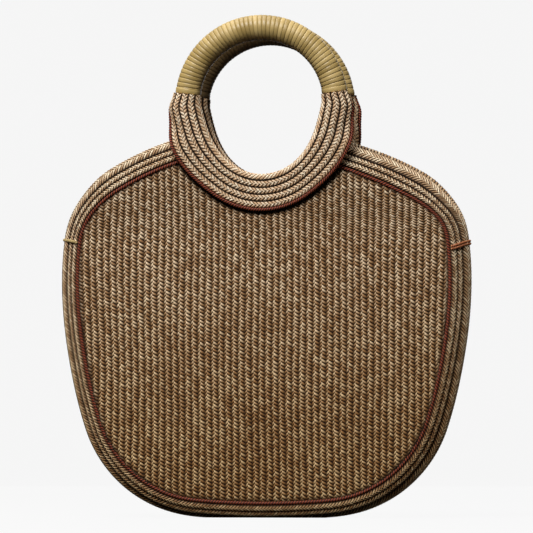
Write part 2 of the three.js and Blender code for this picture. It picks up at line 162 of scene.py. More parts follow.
# %% Settling
HALVES = {"front": 1.0, "back": -1.0}
BLEND_LOW = BEND_HEIGHT - 2 * MM
BLEND_HIGH = BEND_HEIGHT + 31 * MM
SHOULDER_SAG = {"front": (5 * MM, 13 * MM), "back": (9.5 * MM, 5 * MM)}
SAG_LEFT_X = -40 * MM
SAG_RIGHT_X = 100 * MM
SAG_FADE = 60 * MM
SIDE_SWELL = 2.6 * MM
SWELL_INNER_X = 60 * MM
SWELL_OUTER_X = 170 * MM
SWELL_LOW = 120 * MM
SWELL_FULL = 240 * MM
SWELL_TOP = 285 * MM
SWELL_TOP_LEAN = 35 * MM
SWELL_FADE = 60 * MM


def stand_open(points, weight=None):
    """Front-half points turned outwards about the bend line by the rest angle times a weight, which grows
    smoothly from 0 below the bend to 1 above it unless it is given."""
    if weight is None:
        weight = smooth(points[..., 2], BLEND_LOW, BLEND_HIGH)
    turn = math.radians(MOUTH_REST_ANGLE) * weight
    y = points[..., 1] + bend_front
    z = points[..., 2] - BEND_HEIGHT
    moved = points.copy()
    moved[..., 1] = y * np.cos(turn) - z * np.sin(turn) - bend_front
    moved[..., 2] = y * np.sin(turn) + z * np.cos(turn) + BEND_HEIGHT
    return moved


def sag(x, z, half):
    """How far a half's soft shoulders sink: the first amount on its left and the second on its right,
    growing from nothing at the bend to all of it above."""
    left, right = SHOULDER_SAG[half]
    amount = left + (right - left) * smooth(x, SAG_LEFT_X, SAG_RIGHT_X)
    return amount * smooth(z, BEND_HEIGHT, BEND_HEIGHT + SAG_FADE)


def side_swell(x, z, half):
    """How far the soft sides stand out: nothing near the middle, all of it at the edge, from a third of the
    height up to the shoulder, which swells higher on the bag's right than on its left."""
    top = SWELL_TOP + SWELL_TOP_LEAN * np.sign(x) * HALVES[half]
    tall = smooth(z, SWELL_LOW, SWELL_FULL) * (1 - smooth(z, top, top + SWELL_FADE))
    return SIDE_SWELL * np.sign(x) * smooth(np.abs(x), SWELL_INNER_X, SWELL_OUTER_X) * tall


def settle(points, half):
    """Points of a half, before it is turned to its side, with its sides swollen, its shoulders sunk and the
    mouth open."""
    moved = points.copy()
    moved[..., 0] += side_swell(points[..., 0], points[..., 2], half)
    moved[..., 2] -= sag(points[..., 0], points[..., 2], half)
    return stand_open(moved)


print("shoulders sink in mm:", {half: [round(s / MM, 1) for s in SHOULDER_SAG[half]] for half in HALVES})

# %% [markdown]
# ## Meshes from whole arrays
# Each surface is a grid of points: a formula gives all of them at once, and the quads between neighbours
# follow from the grid's counts. A face's order decides which way it looks, so the order is checked against
# the piece's own volume. Each point can carry a vector, which the material reads to know where it is.

# %% Mesh helpers
BAG_MIDDLE = np.array([0.0, 0.0, 0.2])


def on_half(points, half):
    """The front half's points, or the same turned half a turn about Z: x and y change sign."""
    return points * np.array([HALVES[half], HALVES[half], 1.0])


def lengths_along(line):
    """Distance along a line of points, from its start to each of them."""
    return np.concatenate([[0], np.cumsum(np.linalg.norm(np.diff(line, axis=0), axis=1))])


def resample(line, known, wanted):
    """Points of a line at wanted places, worked out from the known places of its own points."""
    return np.stack([np.interp(wanted, known, line[:, k]) for k in range(3)], axis=-1)


def grid_faces(rows, columns, around=False):
    """Corner numbers of a grid's quads; around joins the last column to the first."""
    i, j = np.meshgrid(np.arange(rows - 1), np.arange(columns - (not around)), indexing="ij")
    right = (j + 1) % columns
    corners = [i * columns + j, (i + 1) * columns + j, (i + 1) * columns + right, i * columns + right]
    return np.stack(corners, axis=-1).reshape(-1, 4)


def flux(points, faces, centre):
    """Six times the volume that the quads enclose with a centre: positive when they look away from it."""
    p = points[faces] - centre
    first = np.einsum("ij,ij->", p[:, 0], np.cross(p[:, 1], p[:, 2]))
    return first + np.einsum("ij,ij->", p[:, 0], np.cross(p[:, 2], p[:, 3]))


def mesh_piece(name, points, faces, material, caps=(), inside=False, **vectors):
    """A smooth-shaded object from points, quads and end caps, with named vectors on its points. The faces
    look away from the middle of the bag, or towards it for an inside surface."""
    points = points.reshape(-1, 3)
    turned = flux(points, faces, BAG_MIDDLE) < 0
    if turned != inside:
        faces = faces[:, ::-1]
        caps = [cap[::-1] for cap in caps]
    mesh = bpy.data.meshes.new(name)
    mesh.from_pydata(points.tolist(), [], faces.tolist() + [[int(c) for c in cap] for cap in caps])
    for key, values in vectors.items():
        layer = mesh.attributes.new(key, "FLOAT_VECTOR", "POINT")
        layer.data.foreach_set("vector", values.reshape(-1).astype(np.float32))
    mesh.polygons.foreach_set("use_smooth", np.ones(len(mesh.polygons), dtype=bool))
    mesh.materials.append(material)
    piece = bpy.data.objects.new(name, mesh)
    bpy.context.collection.objects.link(piece)
    return piece


def ring_caps(rings, count):
    """End faces of a tube of rings: the first ring backwards and the last ring forwards."""
    first = np.arange(count)
    return [first, (rings - 1) * count + first[::-1]]


def tube_piece(name, points, half, material, **vectors):
    """A tube of rings of points on one half of the bag, with its ends closed."""
    rings, count = points.shape[:2]
    return mesh_piece(name, on_half(points, half), grid_faces(rings, count, True), material,
                      ring_caps(rings, count), **vectors)


def join_strips(strips):
    """Faces, points and vectors of many grids as one: each strip is its points with its named vectors."""
    counts = [strip["points"][..., 0].size for strip in strips]
    starts = np.cumsum([0] + counts)
    faces = [grid_faces(*strip["points"].shape[:2]) + start for strip, start in zip(strips, starts)]
    joined = {key: np.concatenate([strip[key].reshape(-1, 3) for strip in strips]) for key in strips[0]}
    return np.concatenate(faces), joined


def crosses_bend(piece):
    """The piece's transform, baked into its mesh."""
    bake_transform(piece)


def face_count(pieces):
    """How many faces some pieces have together."""
    return sum(len(piece.data.polygons) for piece in pieces)


# %% [markdown]
# ## Shader helpers
# Materials are node graphs. A few small functions keep them readable: one adds a node with its settings and
# its inputs, which can be numbers or the outputs of other nodes, and the rest name the nodes that every
# material here needs, such as a Math node, a noise or a bump.


# %% Node helpers
def srgb(red, green, blue):
    """A colour given as screen values from 0 to 255, as the linear light values that shaders use."""
    screen = np.array([red, green, blue]) / 255
    linear = np.where(screen <= 0.04045, screen / 12.92, ((screen + 0.055) / 1.055) ** 2.4)
    return (*linear.tolist(), 1.0)


def feed(tree, node, inputs):
    """Sets a node's inputs: each socket name or number goes with a value, or with the socket to link."""
    for key, value in inputs.items():
        if isinstance(value, bpy.types.NodeSocket):
            tree.links.new(value, node.inputs[key])
        else:
            node.inputs[key].default_value = value


def add_node(tree, kind, inputs=None, **settings):
    """A node with its settings and its inputs."""
    node = tree.nodes.new(kind)
    for key, value in settings.items():
        setattr(node, key, value)
    feed(tree, node, inputs or {})
    return node


def compute(tree, operation, *values):
    """The output of a Math node on numbers or sockets."""
    return add_node(tree, "ShaderNodeMath", dict(enumerate(values)), operation=operation).outputs[0]


def remap(tree, value, low, high, to_low=0.0, to_high=1.0):
    """The output of a smooth Map Range node from low..high to to_low..to_high."""
    inputs = {"Value": value, "From Min": low, "From Max": high, "To Min": to_low, "To Max": to_high}
    return add_node(tree, "ShaderNodeMapRange", inputs, interpolation_type="SMOOTHSTEP").outputs["Result"]


def mix_colour(tree, factor, first, second, mode="MIX"):
    """The colour output of a Mix node, whose colour sockets are its seventh and eighth."""
    inputs = {0: factor, 6: first, 7: second}
    return add_node(tree, "ShaderNodeMix", inputs, data_type="RGBA", blend_type=mode).outputs[2]


def separate(tree, vector):
    """The three parts of a vector."""
    return add_node(tree, "ShaderNodeSeparateXYZ", {0: vector}).outputs


def combine(tree, *parts):
    """A vector from two or three parts."""
    return add_node(tree, "ShaderNodeCombineXYZ", dict(enumerate(parts))).outputs[0]


def noise(tree, vector, scale, detail):
    """The value of a noise over a vector."""
    inputs = {"Vector": vector, "Scale": scale, "Detail": detail}
    return add_node(tree, "ShaderNodeTexNoise", inputs).outputs[0]


def bump(tree, height, strength, distance):
    """A normal tilted by a height."""
    inputs = {"Height": height, "Strength": strength, "Distance": distance}
    return add_node(tree, "ShaderNodeBump", inputs).outputs[0]


def object_place(tree):
    """Where a point is on the object, in metres."""
    return add_node(tree, "ShaderNodeTexCoord").outputs["Object"]


def point_vector(tree, name):
    """The vector of that name that a mesh carries on its points."""
    return add_node(tree, "ShaderNodeAttribute", attribute_name=name).outputs["Vector"]


def new_group(name, inputs, outputs):
    """An empty shader group with named sockets, and its input and output nodes."""
    group = bpy.data.node_groups.new(name, "ShaderNodeTree")
    for key, kind in inputs.items():
        group.interface.new_socket(key, in_out="INPUT", socket_type=kind)
    for key, kind in outputs.items():
        group.interface.new_socket(key, in_out="OUTPUT", socket_type=kind)
    return group, group.nodes.new("NodeGroupInput"), group.nodes.new("NodeGroupOutput")


def new_material(name):
    """A material that starts with a plain Principled shader, and its node tree."""
    material = bpy.data.materials.new(name)
    material.use_nodes = True
    return material, material.node_tree


def shade(material, inputs):
    """The material with these inputs on its Principled shader."""
    feed(material.node_tree, material.node_tree.nodes["Principled BSDF"], inputs)
    return material


# %% [markdown]
# ## Straw
# A plait shows slanted strands that meet in a V along the middle of the braid. A picture of straw wrapped
# round the bag would stretch and would not follow the mesh. So each point of a braid carries where it is:
# how far across the row from -1 to 1, the number of its strand with the place across that strand as the
# fraction, and the row. From that the group works out the gap between strands, which gets painted shade, a
# tone for each strand and fine fibres along it. One group serves the panel, the rim and the collar.

# %% Plait group
PINCH_START = 0.3
HOLE_CORE = 0.25
EDGE_LINE = (0.69, 0.85)
CREST_FADE = -0.7
FIBRE_STRETCH = (9.0, 1.6, 5.3)


def plait_group():
    """Group that reads a plait vector and gives the strand's crest, the gap for painted shade, a tone and the
    fibres.
    The gap is a hole between strands: Hole is its width at the middle, Pinch is how much wider it gets at
    the edges, and Edge adds a line between rows; the material paints both dark as painted shade."""
    sizes = dict.fromkeys(["Edge", "Hole", "Pinch"], "NodeSocketFloat")
    outputs = dict.fromkeys(["Crest", "Gap", "Tone", "Fibre"], "NodeSocketFloat")
    group, entry, leave = new_group("plait", {"Plait": "NodeSocketVector", **sizes}, outputs)
    across, phase, row = separate(group, entry.outputs["Plait"])
    beside = compute(group, "ABSOLUTE", across)
    place = compute(group, "FRACT", phase)
    near = compute(group, "MINIMUM", place, compute(group, "SUBTRACT", 1.0, place))
    # Painted shade: a hole between strands, wider towards the edges, and a line between rows.
    pinch = remap(group, beside, PINCH_START, 1.0)
    width = compute(group, "MULTIPLY_ADD", pinch, entry.outputs["Pinch"], entry.outputs["Hole"])
    hole = remap(group, near, compute(group, "MULTIPLY", width, HOLE_CORE), width, 1.0, 0.0)
    line = compute(group, "MULTIPLY", remap(group, beside, *EDGE_LINE), entry.outputs["Edge"])
    gap = compute(group, "MAXIMUM", hole, line)
    rounded = compute(group, "SINE", compute(group, "MULTIPLY", place, math.pi))
    crest = compute(group, "MULTIPLY", rounded, compute(group, "MULTIPLY_ADD", beside, CREST_FADE, 1.0))
    strand = combine(group, compute(group, "FLOOR", phase), compute(group, "SIGN", across), row)
    tone = add_node(group, "ShaderNodeTexWhiteNoise", {"Vector": strand}, noise_dimensions="3D")
    streak = combine(group, *[compute(group, "MULTIPLY", part, stretch)
                              for part, stretch in zip((phase, across, row), FIBRE_STRETCH)])
    fibre = noise(group, streak, scale=1.0, detail=2.0)
    for key, socket in zip(outputs, [crest, gap, tone.outputs["Value"], fibre]):
        group.links.new(socket, leave.inputs[key])
    return group


PLAIT = plait_group()
print("group:", PLAIT.name, "with", len(PLAIT.nodes), "nodes")

# %% Straw materials
# Heights over which the painted shade line between rows changes strength.
EDGE_HEIGHTS = (0.2, 0.29)
# Heights over which painted shade darkens and warms the straw towards the bottom.
LOW_SHADE_HEIGHTS = (0.02, 0.3)
PATCH_SCALE = 16.0
PATCH_SHARE = 0.2
# Crest share: a painted highlight along each strand's crown.
TONE_SHARES = {"Crest": 0.5, "Tone": 0.32, "Fibre": 0.22}
TONE_STOPS = [0.2, 0.6, 0.95]
# Painted shade in the holes between strands and the lines between rows.
GAP_COLOUR = srgb(23, 8, 1)
GAP_SHARE = 0.96
FIBRE_RANGE = (0.3, 0.7)
FIBRE_GLOSS = 0.18
FIBRE_RELIEF = 0.35


def straw_material(name, tones, low_shade_tint, roughness, edges, **plait_sizes):
    """Straw from a dark, a middle and a light tone: strands get a painted highlight along their crests and
    vary from one to the next, gaps and seams go dark brown as painted shade, and the colour darkens and warms
    towards the bottom as painted shade from the light above. Edges are how dark the painted shade lines
    between rows are on the lower and the upper half."""
    material, tree = new_material(name)
    place = object_place(tree)
    height = separate(tree, place)[2]
    edge = remap(tree, height, *EDGE_HEIGHTS, *edges)
    inputs = {"Plait": point_vector(tree, "plait"), "Edge": edge, **plait_sizes}
    plait = add_node(tree, "ShaderNodeGroup", inputs, node_tree=PLAIT).outputs
    mixed = compute(tree, "MULTIPLY", noise(tree, place, scale=PATCH_SCALE, detail=2.0), PATCH_SHARE)
    # Painted highlight on the crests, mixed with each strand's tone and the fibres.
    for key, share in TONE_SHARES.items():
        mixed = compute(tree, "MULTIPLY_ADD", plait[key], share, mixed)
    ramp = add_node(tree, "ShaderNodeValToRGB", {"Fac": mixed})
    ramp.color_ramp.elements.new(TONE_STOPS[1])
    for element, position, tone in zip(ramp.color_ramp.elements, TONE_STOPS, tones):
        element.position = position
        element.color = srgb(*tone)
    # Painted shade: the colour darkens and warms towards the bottom, as the light falls from above.
    low = remap(tree, height, *LOW_SHADE_HEIGHTS, 1.0, 0.0)
    tinted = mix_colour(tree, 1.0, ramp.outputs[0], low_shade_tint, "MULTIPLY")
    straw = mix_colour(tree, low, ramp.outputs[0], tinted)
    # Painted shade along the panel's seams, beside the piping.
    seam = add_node(tree, "ShaderNodeAttribute", attribute_name="seam").outputs["Fac"]
    # Painted shade in the gaps between strands and rows.
    gap = compute(tree, "MULTIPLY", compute(tree, "MAXIMUM", plait["Gap"], seam), GAP_SHARE)
    gloss = remap(tree, plait["Fibre"], *FIBRE_RANGE, roughness, roughness + FIBRE_GLOSS)
    relief = compute(tree, "MULTIPLY_ADD", plait["Fibre"], FIBRE_RELIEF, plait["Crest"])
    return shade(material, {
        "Base Color": mix_colour(tree, gap, straw, GAP_COLOUR),
        "Roughness": compute(tree, "MAXIMUM", gloss, gap),
        "Normal": bump(tree, relief, strength=0.6, distance=0.5 * MM),
        "Specular IOR Level": 0.3})


# Each straw's fourth value is its painted shade tint towards the bottom; white leaves the collar without it.
STRAW_PANEL = straw_material("straw_panel", [(90, 50, 16), (168, 126, 82), (255, 232, 198)],
                             (0.84, 0.74, 0.54, 1.0), 0.42, (0.5, 0.5), Hole=0.24, Pinch=0.24)
STRAW_RIM = straw_material("straw_rim", [(92, 60, 32), (178, 140, 100), (255, 236, 202)],
                           (0.88, 0.75, 0.57, 1.0), 0.4, (0.6, 1.0), Hole=0.24, Pinch=0.3)
STRAW_COLLAR = straw_material("straw_collar", [(122, 80, 46), (214, 174, 132), (255, 240, 212)],
                              (1.0, 1.0, 1.0, 1.0), 0.38, (1.0, 1.0), Hole=0.15, Pinch=0.1)
print("straw materials:", STRAW_PANEL.name, STRAW_RIM.name, STRAW_COLLAR.name)

# %% [markdown]
# ## One braid row as a surface
# A braid could be built strand by strand, but a bag has thousands of strands, and most of each one is
# hidden. So a braid is modelled as a relief over a strip. The mesh lines are slanted with the strands, so a
# few points per strand are enough to show each one plump: one in the valley and the others over the crown.
# The height formula is a cross profile, which is full in the middle and drops to the sewn edges, times the
# roundness of the strand.

# %% Braid relief
ROW_COLUMNS = np.array([-1, -0.78, -0.42, -0.01, 0.01, 0.42, 0.78, 1])
ROW_STEPS = np.array([0.0, 0.22, 0.5, 0.78])
ROW_SLOPE = math.tan(math.radians(42))
PANEL_COLUMNS = np.array([-1, -0.55, -0.01, 0.01, 0.55, 1])
PANEL_STEPS = np.array([0.0, 0.3, 0.7])
PANEL_SLOPE = math.tan(math.radians(36))
PANEL_BRAID = {"columns": PANEL_COLUMNS, "steps": PANEL_STEPS, "period": 3.3 * MM, "slope": PANEL_SLOPE}
RIM_BRAID = {"columns": ROW_COLUMNS, "steps": ROW_STEPS, "period": 3.0 * MM, "slope": ROW_SLOPE}
COLLAR_BRAID = {**RIM_BRAID, "period": 3.4 * MM}
FACING_BRAID = {**COLLAR_BRAID, "columns": PANEL_COLUMNS, "steps": PANEL_STEPS}

BRAID_RISE = 1.7 * MM
CREST_HEIGHT = 1.08
EDGE_DIP = 0.35
STRAND_FULLNESS = 0.8
ROW_EDGE_DROP = 0.9
PANEL_EDGE_DROP = 0.6
PANEL_VALLEY = 0.4
RIM_VALLEY = 0.46
COLLAR_VALLEY = 0.55
SCATTER_STEPS = (12.9898, 78.233)
SCATTER_SIZE = 43758.5453


def scatter(first, second):
    """Repeatable scatter between -1 and 1 for two numbers: the fraction of a large sine."""
    return np.modf(np.sin(first * SCATTER_STEPS[0] + second * SCATTER_STEPS[1]) * SCATTER_SIZE)[0]


def braid_height(across, phase, edge_drop, valley_height):
    """Height over the nominal face. A strand is plump where it turns over at the middle of the braid and is
    pinched at the sewn edges. So the crest falls with |a|^4 towards the edge, the valley between strands
    is deepest there, and sin(pi f) leads from one to the other across the strand."""
    beside = np.abs(across)
    crest = CREST_HEIGHT - edge_drop * beside ** 4
    valley = valley_height - EDGE_DIP * smooth(beside, PINCH_START, 1)
    strand = np.sin(np.pi * np.mod(phase, 1)) ** STRAND_FULLNESS
    return BRAID_RISE * (np.minimum(valley, crest) + np.maximum(crest - valley, 0) * strand - 1)


def braid_grid(length, width, apex, row, columns, steps, period, slope):
    """Grid of one braid row: across, phase and along for each point, with along = (phase - apex slant |a|)
    times the strand period, held between 0 and the length. Lines that lie past both ends are left out. The
    arms on the left are half a strand ahead, because the strands of a plait cross over in turn."""
    slant = width / 2 * slope / period
    strands = np.arange(-math.ceil(slant) - 1, math.ceil(length / period + slant) + 1)
    phase = (strands[:, None] + steps).reshape(-1, 1) + 0 * columns
    across = columns + 0 * phase
    along = np.clip((phase - apex * slant * np.abs(across)) * period, 0, length)
    first = np.flatnonzero(along.max(axis=1) <= 0).max()
    last = np.flatnonzero(along.min(axis=1) >= length).min()
    keep = slice(first, last + 1)
    phase = phase + 0.5 * (across < 0)
    plait = np.stack([across, phase, np.full(phase.shape, float(row))], axis=-1)[keep]
    return across[keep], phase[keep], along[keep], plait


def close_strip(face, back, plait):
    """A braid's face with the two corners of its back added to each line, and the plait vectors too."""
    return np.concatenate([face, back], axis=1), np.concatenate([plait, plait[:, [-1, 0]]], axis=1)


print("strands per 100 mm: panel", round(100 * MM / PANEL_BRAID["period"]), "rim",
      round(100 * MM / RIM_BRAID["period"]), "collar", round(100 * MM / COLLAR_BRAID["period"]))

# %% [markdown]
# ## The ring and the collar's section
# The ring handle and the collar share one frame: an angle about the ring's middle, 0 on the right and -90
# at the bottom, a reach outwards and a rise along Y. The collar folds over the ring at its inner edge and
# then runs straight out. One fixed section would be simpler, but the real collar closes round the ring at
# the neck. So its section is an arc and a line that both change with the angle.

# %% Ring and collar section
NECK_SWELL = 6 * MM
NECK_SWELL_START = -62
NECK_SWELL_FULL = -22
NECK_DRAW_START = -5
NECK_DRAW = 0.75


def right_side(angle):
    """Angles about the ring with those of the left side mirrored onto the right."""
    return np.where(angle < -90, -180 - angle, angle)


def ring_angle(x, z):
    """Angle about the ring's middle in degrees, from -270 to 90, so that it has no jump under the ring."""
    angle = np.degrees(np.arctan2(z - RING_HEIGHT, x))
    return np.where(angle > 90, angle - 360, angle)


def ring_drop(angle):
    """How far an angle about the ring is below the grip: 0 level with its middle, 1 at its bottom."""
    return np.maximum(-np.sin(np.radians(angle)), 0)


def ring_reach(angle):
    """Reach of the ring's line from its middle: round above, drawn in and stretched below."""
    drop = ring_drop(angle)
    return RING_RADIUS - 4 * RING_PINCH * drop * (1 - drop) + RING_STRETCH * drop * drop


def collar_fold(angle):
    """Radius of the collar's fold: slim at the bottom of the ring, full at the neck."""
    share = ring_drop(angle) ** COLLAR_NECK_EASE
    return COLLAR_NECK_RADIUS + (COLLAR_FOLD_RADIUS - COLLAR_NECK_RADIUS) * share


def neck_swell(angle, length):
    """How far the soft collar stands out where it closes to the neck: a bump over the angle, growing with
    the length from the inner edge and drawn in again where the strap begins."""
    side = right_side(angle)
    drawn = NECK_DRAW * smooth(side, NECK_DRAW_START, COLLAR_END_ANGLE)
    bulge = smooth(side, NECK_SWELL_START, NECK_SWELL_FULL) * (1 - drawn)
    return NECK_SWELL * bulge * smooth(length, 0, collar_length)


def collar_section(angle, length, depth):
    """Reach and rise from the ring's line, at a length from the inner edge and a depth under the face:
    round the fold up to its wrap, then straight on."""
    side = right_side(angle)
    fold = collar_fold(side)
    wrap = np.radians(90 + (COLLAR_NECK_WRAP - 90) * smooth(side, COLLAR_NECK_START, 0))
    bend = np.minimum(length / fold, wrap)
    flat = np.maximum(length - fold * wrap, 0)
    reach = neck_swell(angle, length) - (fold - depth) * np.cos(bend) + flat * np.sin(bend)
    rise = -(fold - depth) * np.sin(bend) - flat * np.cos(bend)
    return reach, rise


def ring_point(angle, reach, rise):
    """Point of the front half at an angle about the ring, from its reach and rise over the ring's line."""
    out = ring_reach(angle) + reach
    x = out * np.cos(np.radians(angle))
    z = RING_HEIGHT + out * np.sin(np.radians(angle))
    return np.stack([x, ring_plane + rise + 0 * x, z], axis=-1)


def collar_edge(angle):
    """Outer edge of the collar's piping, as a distance from the ring's middle."""
    length = collar_length + FIT_GAP + PIPING_RADIUS
    middle = collar_section(angle, length, BRAID_THICKNESS - PIPING_RADIUS)[0]
    return ring_reach(angle) + middle + PIPING_RADIUS


print("collar's lower edge at", round((RING_HEIGHT - collar_edge(np.array(-90.0))) / MM, 1), "mm")

# %% [markdown]
# ## The rim rows
# Three braids frame each half: two narrow ones and a wide one that meets the other half at the seam. On the
# real bag each is one long plait, sewn on from one side of the collar, down the side, under the bag and up
# to the collar again. They could be cut at the bend as the CAD solids are, but a cut would show. So each is
# one piece here, and it bends where the mouth opens.

# %% Rim rows
SEWN_HEADINGS = np.linspace(-179.9, 179.9, 7197)
RIM_TUCK = 14 * MM
RIM_PLUMP = np.array([0.4, 0.4, 1.4]) * MM
RIM_BACK_SHARES = np.array([0.93, 0.07])
ROLLED_EDGE_DROP = 0.35
ROLLED_PLAIT = 0.4


def rim_tilts(heading):
    """Tilts of the three rows at a heading, in radians: from base to sides round the corner, with the last
    row solved to end at the seam, then easing to the parted tilts above the tacks."""
    turn = np.abs(heading)[..., None]
    corner = smooth(turn, ARCS[1, 0], ARCS[2, 0])
    base = np.radians(RIM_BASE_TILTS[:2])
    tilts = base + (np.radians(RIM_SIDE_TILTS) - base) * corner
    left_over = rim_depth - np.sum(RIM_WIDTHS[:2] * np.sin(tilts), axis=-1, keepdims=True)
    tilts = np.concatenate([tilts, np.arcsin(left_over / RIM_WIDTHS[2])], axis=-1)
    parted = smooth(turn, SIDE_END, SIDE_END + RIM_PARTING_TURN)
    return tilts + (np.radians(RIM_PARTED_TILTS) - tilts) * parted


def rim_point(heading, row, share, height):
    """Point on the rim at a heading, a share of the way across a row and a height over its face: the widths
    of the rows before it and its own share step out and back along their tilts."""
    tilts = rim_tilts(heading)
    reach = RIM_WIDTHS[row] * share
    tilt = tilts[..., row]
    before = slice(0, row)
    offset = rim_start + np.sum(RIM_WIDTHS[before] * np.cos(tilts[..., before]), axis=-1)
    depth = np.sum(RIM_WIDTHS[before] * np.sin(tilts[..., before]), axis=-1) - panel_face
    offset = offset + reach * np.cos(tilt) + height * np.sin(tilt)
    depth = depth + reach * np.sin(tilt) - height * np.cos(tilt)
    x, z = outline_point(heading, offset)
    return np.stack([x, depth, z], axis=-1)


def sewn_length(line, tuck):
    """Headings of a line round the outline that isn't yet tucked under the collar, and the length at each.
    line gives points for headings; tuck is how far under the collar's edge the line runs."""
    points = line(SEWN_HEADINGS)
    away = np.hypot(points[:, 0], points[:, 2] - RING_HEIGHT)
    under = away < collar_edge(ring_angle(points[:, 0], points[:, 2])) - tuck
    shown = np.flatnonzero(~(under & (np.abs(SEWN_HEADINGS) > SIDE_END)))
    keep = slice(shown.min(), shown.max() + 1)
    return SEWN_HEADINGS[keep], lengths_along(points[keep])


def make_rim_row(half, row):
    """One rim braid as a closed strip: relief on its face, two corners on its back, bent round the outline.
    The last row rolls over the edge, so that side of it stays plump and shows no line between rows."""
    headings, lengths = sewn_length(lambda h: rim_point(h, row, 0.5, 0 * h), RIM_TUCK)
    across, phase, along, plait = braid_grid(lengths[-1], RIM_WIDTHS[row], -1, row, **RIM_BRAID)
    heading = np.interp(along, lengths, headings)
    last = row == len(RIM_WIDTHS) - 1
    drop = np.where((across > 0) & last, ROLLED_EDGE_DROP, ROW_EDGE_DROP)
    height = braid_height(across, phase, drop, RIM_VALLEY) + RIM_PLUMP[row] * (1 - across ** 2)
    face = rim_point(heading, row, (across + 1) / 2, height)
    edges = heading[:, [-1, 0]]
    back = rim_point(edges, row, RIM_BACK_SHARES, np.full(edges.shape, -BRAID_THICKNESS))
    points, plait = close_strip(face, back, plait)
    points[..., 2] = np.maximum(points[..., 2], 0)
    # On the rolled side the plait vector is scaled down, so neither the painted shade line between rows nor
    # the wider edge holes show there.
    if last:
        plait[..., 0] = np.where(plait[..., 0] > 0, ROLLED_PLAIT * plait[..., 0], plait[..., 0])
    name = f"{half}_rim_row_{row + 1}"
    piece = tube_piece(name, settle(points, half), half, STRAW_RIM, plait=plait)
    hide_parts(f"{name}_lower", f"{name}_upper_left", f"{name}_upper_right")
    crosses_bend(piece)
    return piece


rim_rows = [make_rim_row(half, row) for half in HALVES for row in range(len(RIM_WIDTHS))]
print("rim rows:", len(rim_rows), "with", face_count(rim_rows), "faces")

# %% [markdown]
# ## The panels
# The front and back of the bag are upright braids sewn edge to edge. Each row of the panel is a strip of
# the same relief; its ends follow the outline under the piping and run in under the collar. The real panel
# swells a little between its sewn edges, so the strips lie on a shallow dome. Hand-plaited straw is never
# quite even, so each strand is a little out of line: a plain grid would look printed.

# %% Panel shape
PANEL_ROW = 6.1 * MM
PANEL_SWELL = 4.0 * MM
PANEL_ARCH = 0.8
PANEL_UNDER_PIPING = 0.6 * MM
PANEL_UNDER_COLLAR = 18 * MM
OUTLINE_HEADINGS = np.linspace(0, 180, 3601)
COLLAR_SIDE_ANGLES = np.linspace(-90, -15, 301)
SEAM_INSETS = np.array([1.8, 2.6, 3.4, 4.2]) * MM
SEAM_FADE = 3 * MM


def panel_limits(x, inset):
    """Lowest and highest z of the panel at each x: the outline's lower and upper branch, moved in by an
    inset, with the upper one held down to run in under the collar."""
    line_x, line_z = outline_point(OUTLINE_HEADINGS, -inset)
    widest = np.argmax(line_x)
    low = np.interp(np.abs(x), line_x[:widest + 1], line_z[:widest + 1])
    high = np.interp(np.abs(x), line_x[widest:][::-1], line_z[widest:][::-1])
    under = collar_edge(COLLAR_SIDE_ANGLES) - PANEL_UNDER_COLLAR
    collar_x = under * np.cos(np.radians(COLLAR_SIDE_ANGLES))
    collar_z = RING_HEIGHT + under * np.sin(np.radians(COLLAR_SIDE_ANGLES))
    return low, np.minimum(high, np.interp(np.abs(x), collar_x, collar_z, right=np.inf))


def panel_swell(x, z):
    """How far the panel stands out: 1 - (x / half width)^4 across, which is flat in the middle, times a
    sine arch up the height that ends at the collar's lower edge."""
    wide = np.clip(1 - (x / HALF_WIDTH) ** 4, 0, 1)
    top = RING_HEIGHT - collar_edge(np.array(-90.0))
    tall = np.sin(np.pi * np.clip((z - ARCS[0, 3]) / (top - ARCS[0, 3]), 0, 1)) ** PANEL_ARCH
    return PANEL_SWELL * wide * tall


def seam_depth(x, z, half):
    """1 on the panel's seams and 0 a few millimetres inside them: the share of four nested outlines that a
    point is outside of, or its nearness to the collar's piping. The panel sinks there, and the material
    paints it dark as painted shade beside the piping."""
    outside = 0
    for inset in SEAM_INSETS:
        low, high = panel_limits(x, inset)
        outside = outside + ((z < low) | (z > high)) / len(SEAM_INSETS)
    sunk = z - sag(x, z, half)
    beside = np.hypot(x, sunk - RING_HEIGHT) - collar_edge(ring_angle(x + 0 * z, sunk))
    return np.maximum(outside, 1 - smooth(beside, 0, SEAM_FADE))


print("half width of the panel:", round(HALF_WIDTH / MM, 1), "mm")

# %% Panels
PANEL_LEAN = 0.3
ROW_SHIFT = 0.9 * MM
ROW_SHIFT_TURN = 2.4
STRAND_SHIFT = 0.6 * MM
STRAND_SHIFT_LENGTH = 9 * MM
STRAND_SHIFT_TURN = 1.9
ROW_SWAY = 0.5 * MM
ROW_SWAY_HEIGHT = 27 * MM
ROW_SWAY_WIDTH = 40 * MM
STRAND_WANDER = 0.5 * MM
STRAND_LIFT = 0.25 * MM
SEAM_SINK = 0.8 * MM
SMALLEST_FACE = 1e-6


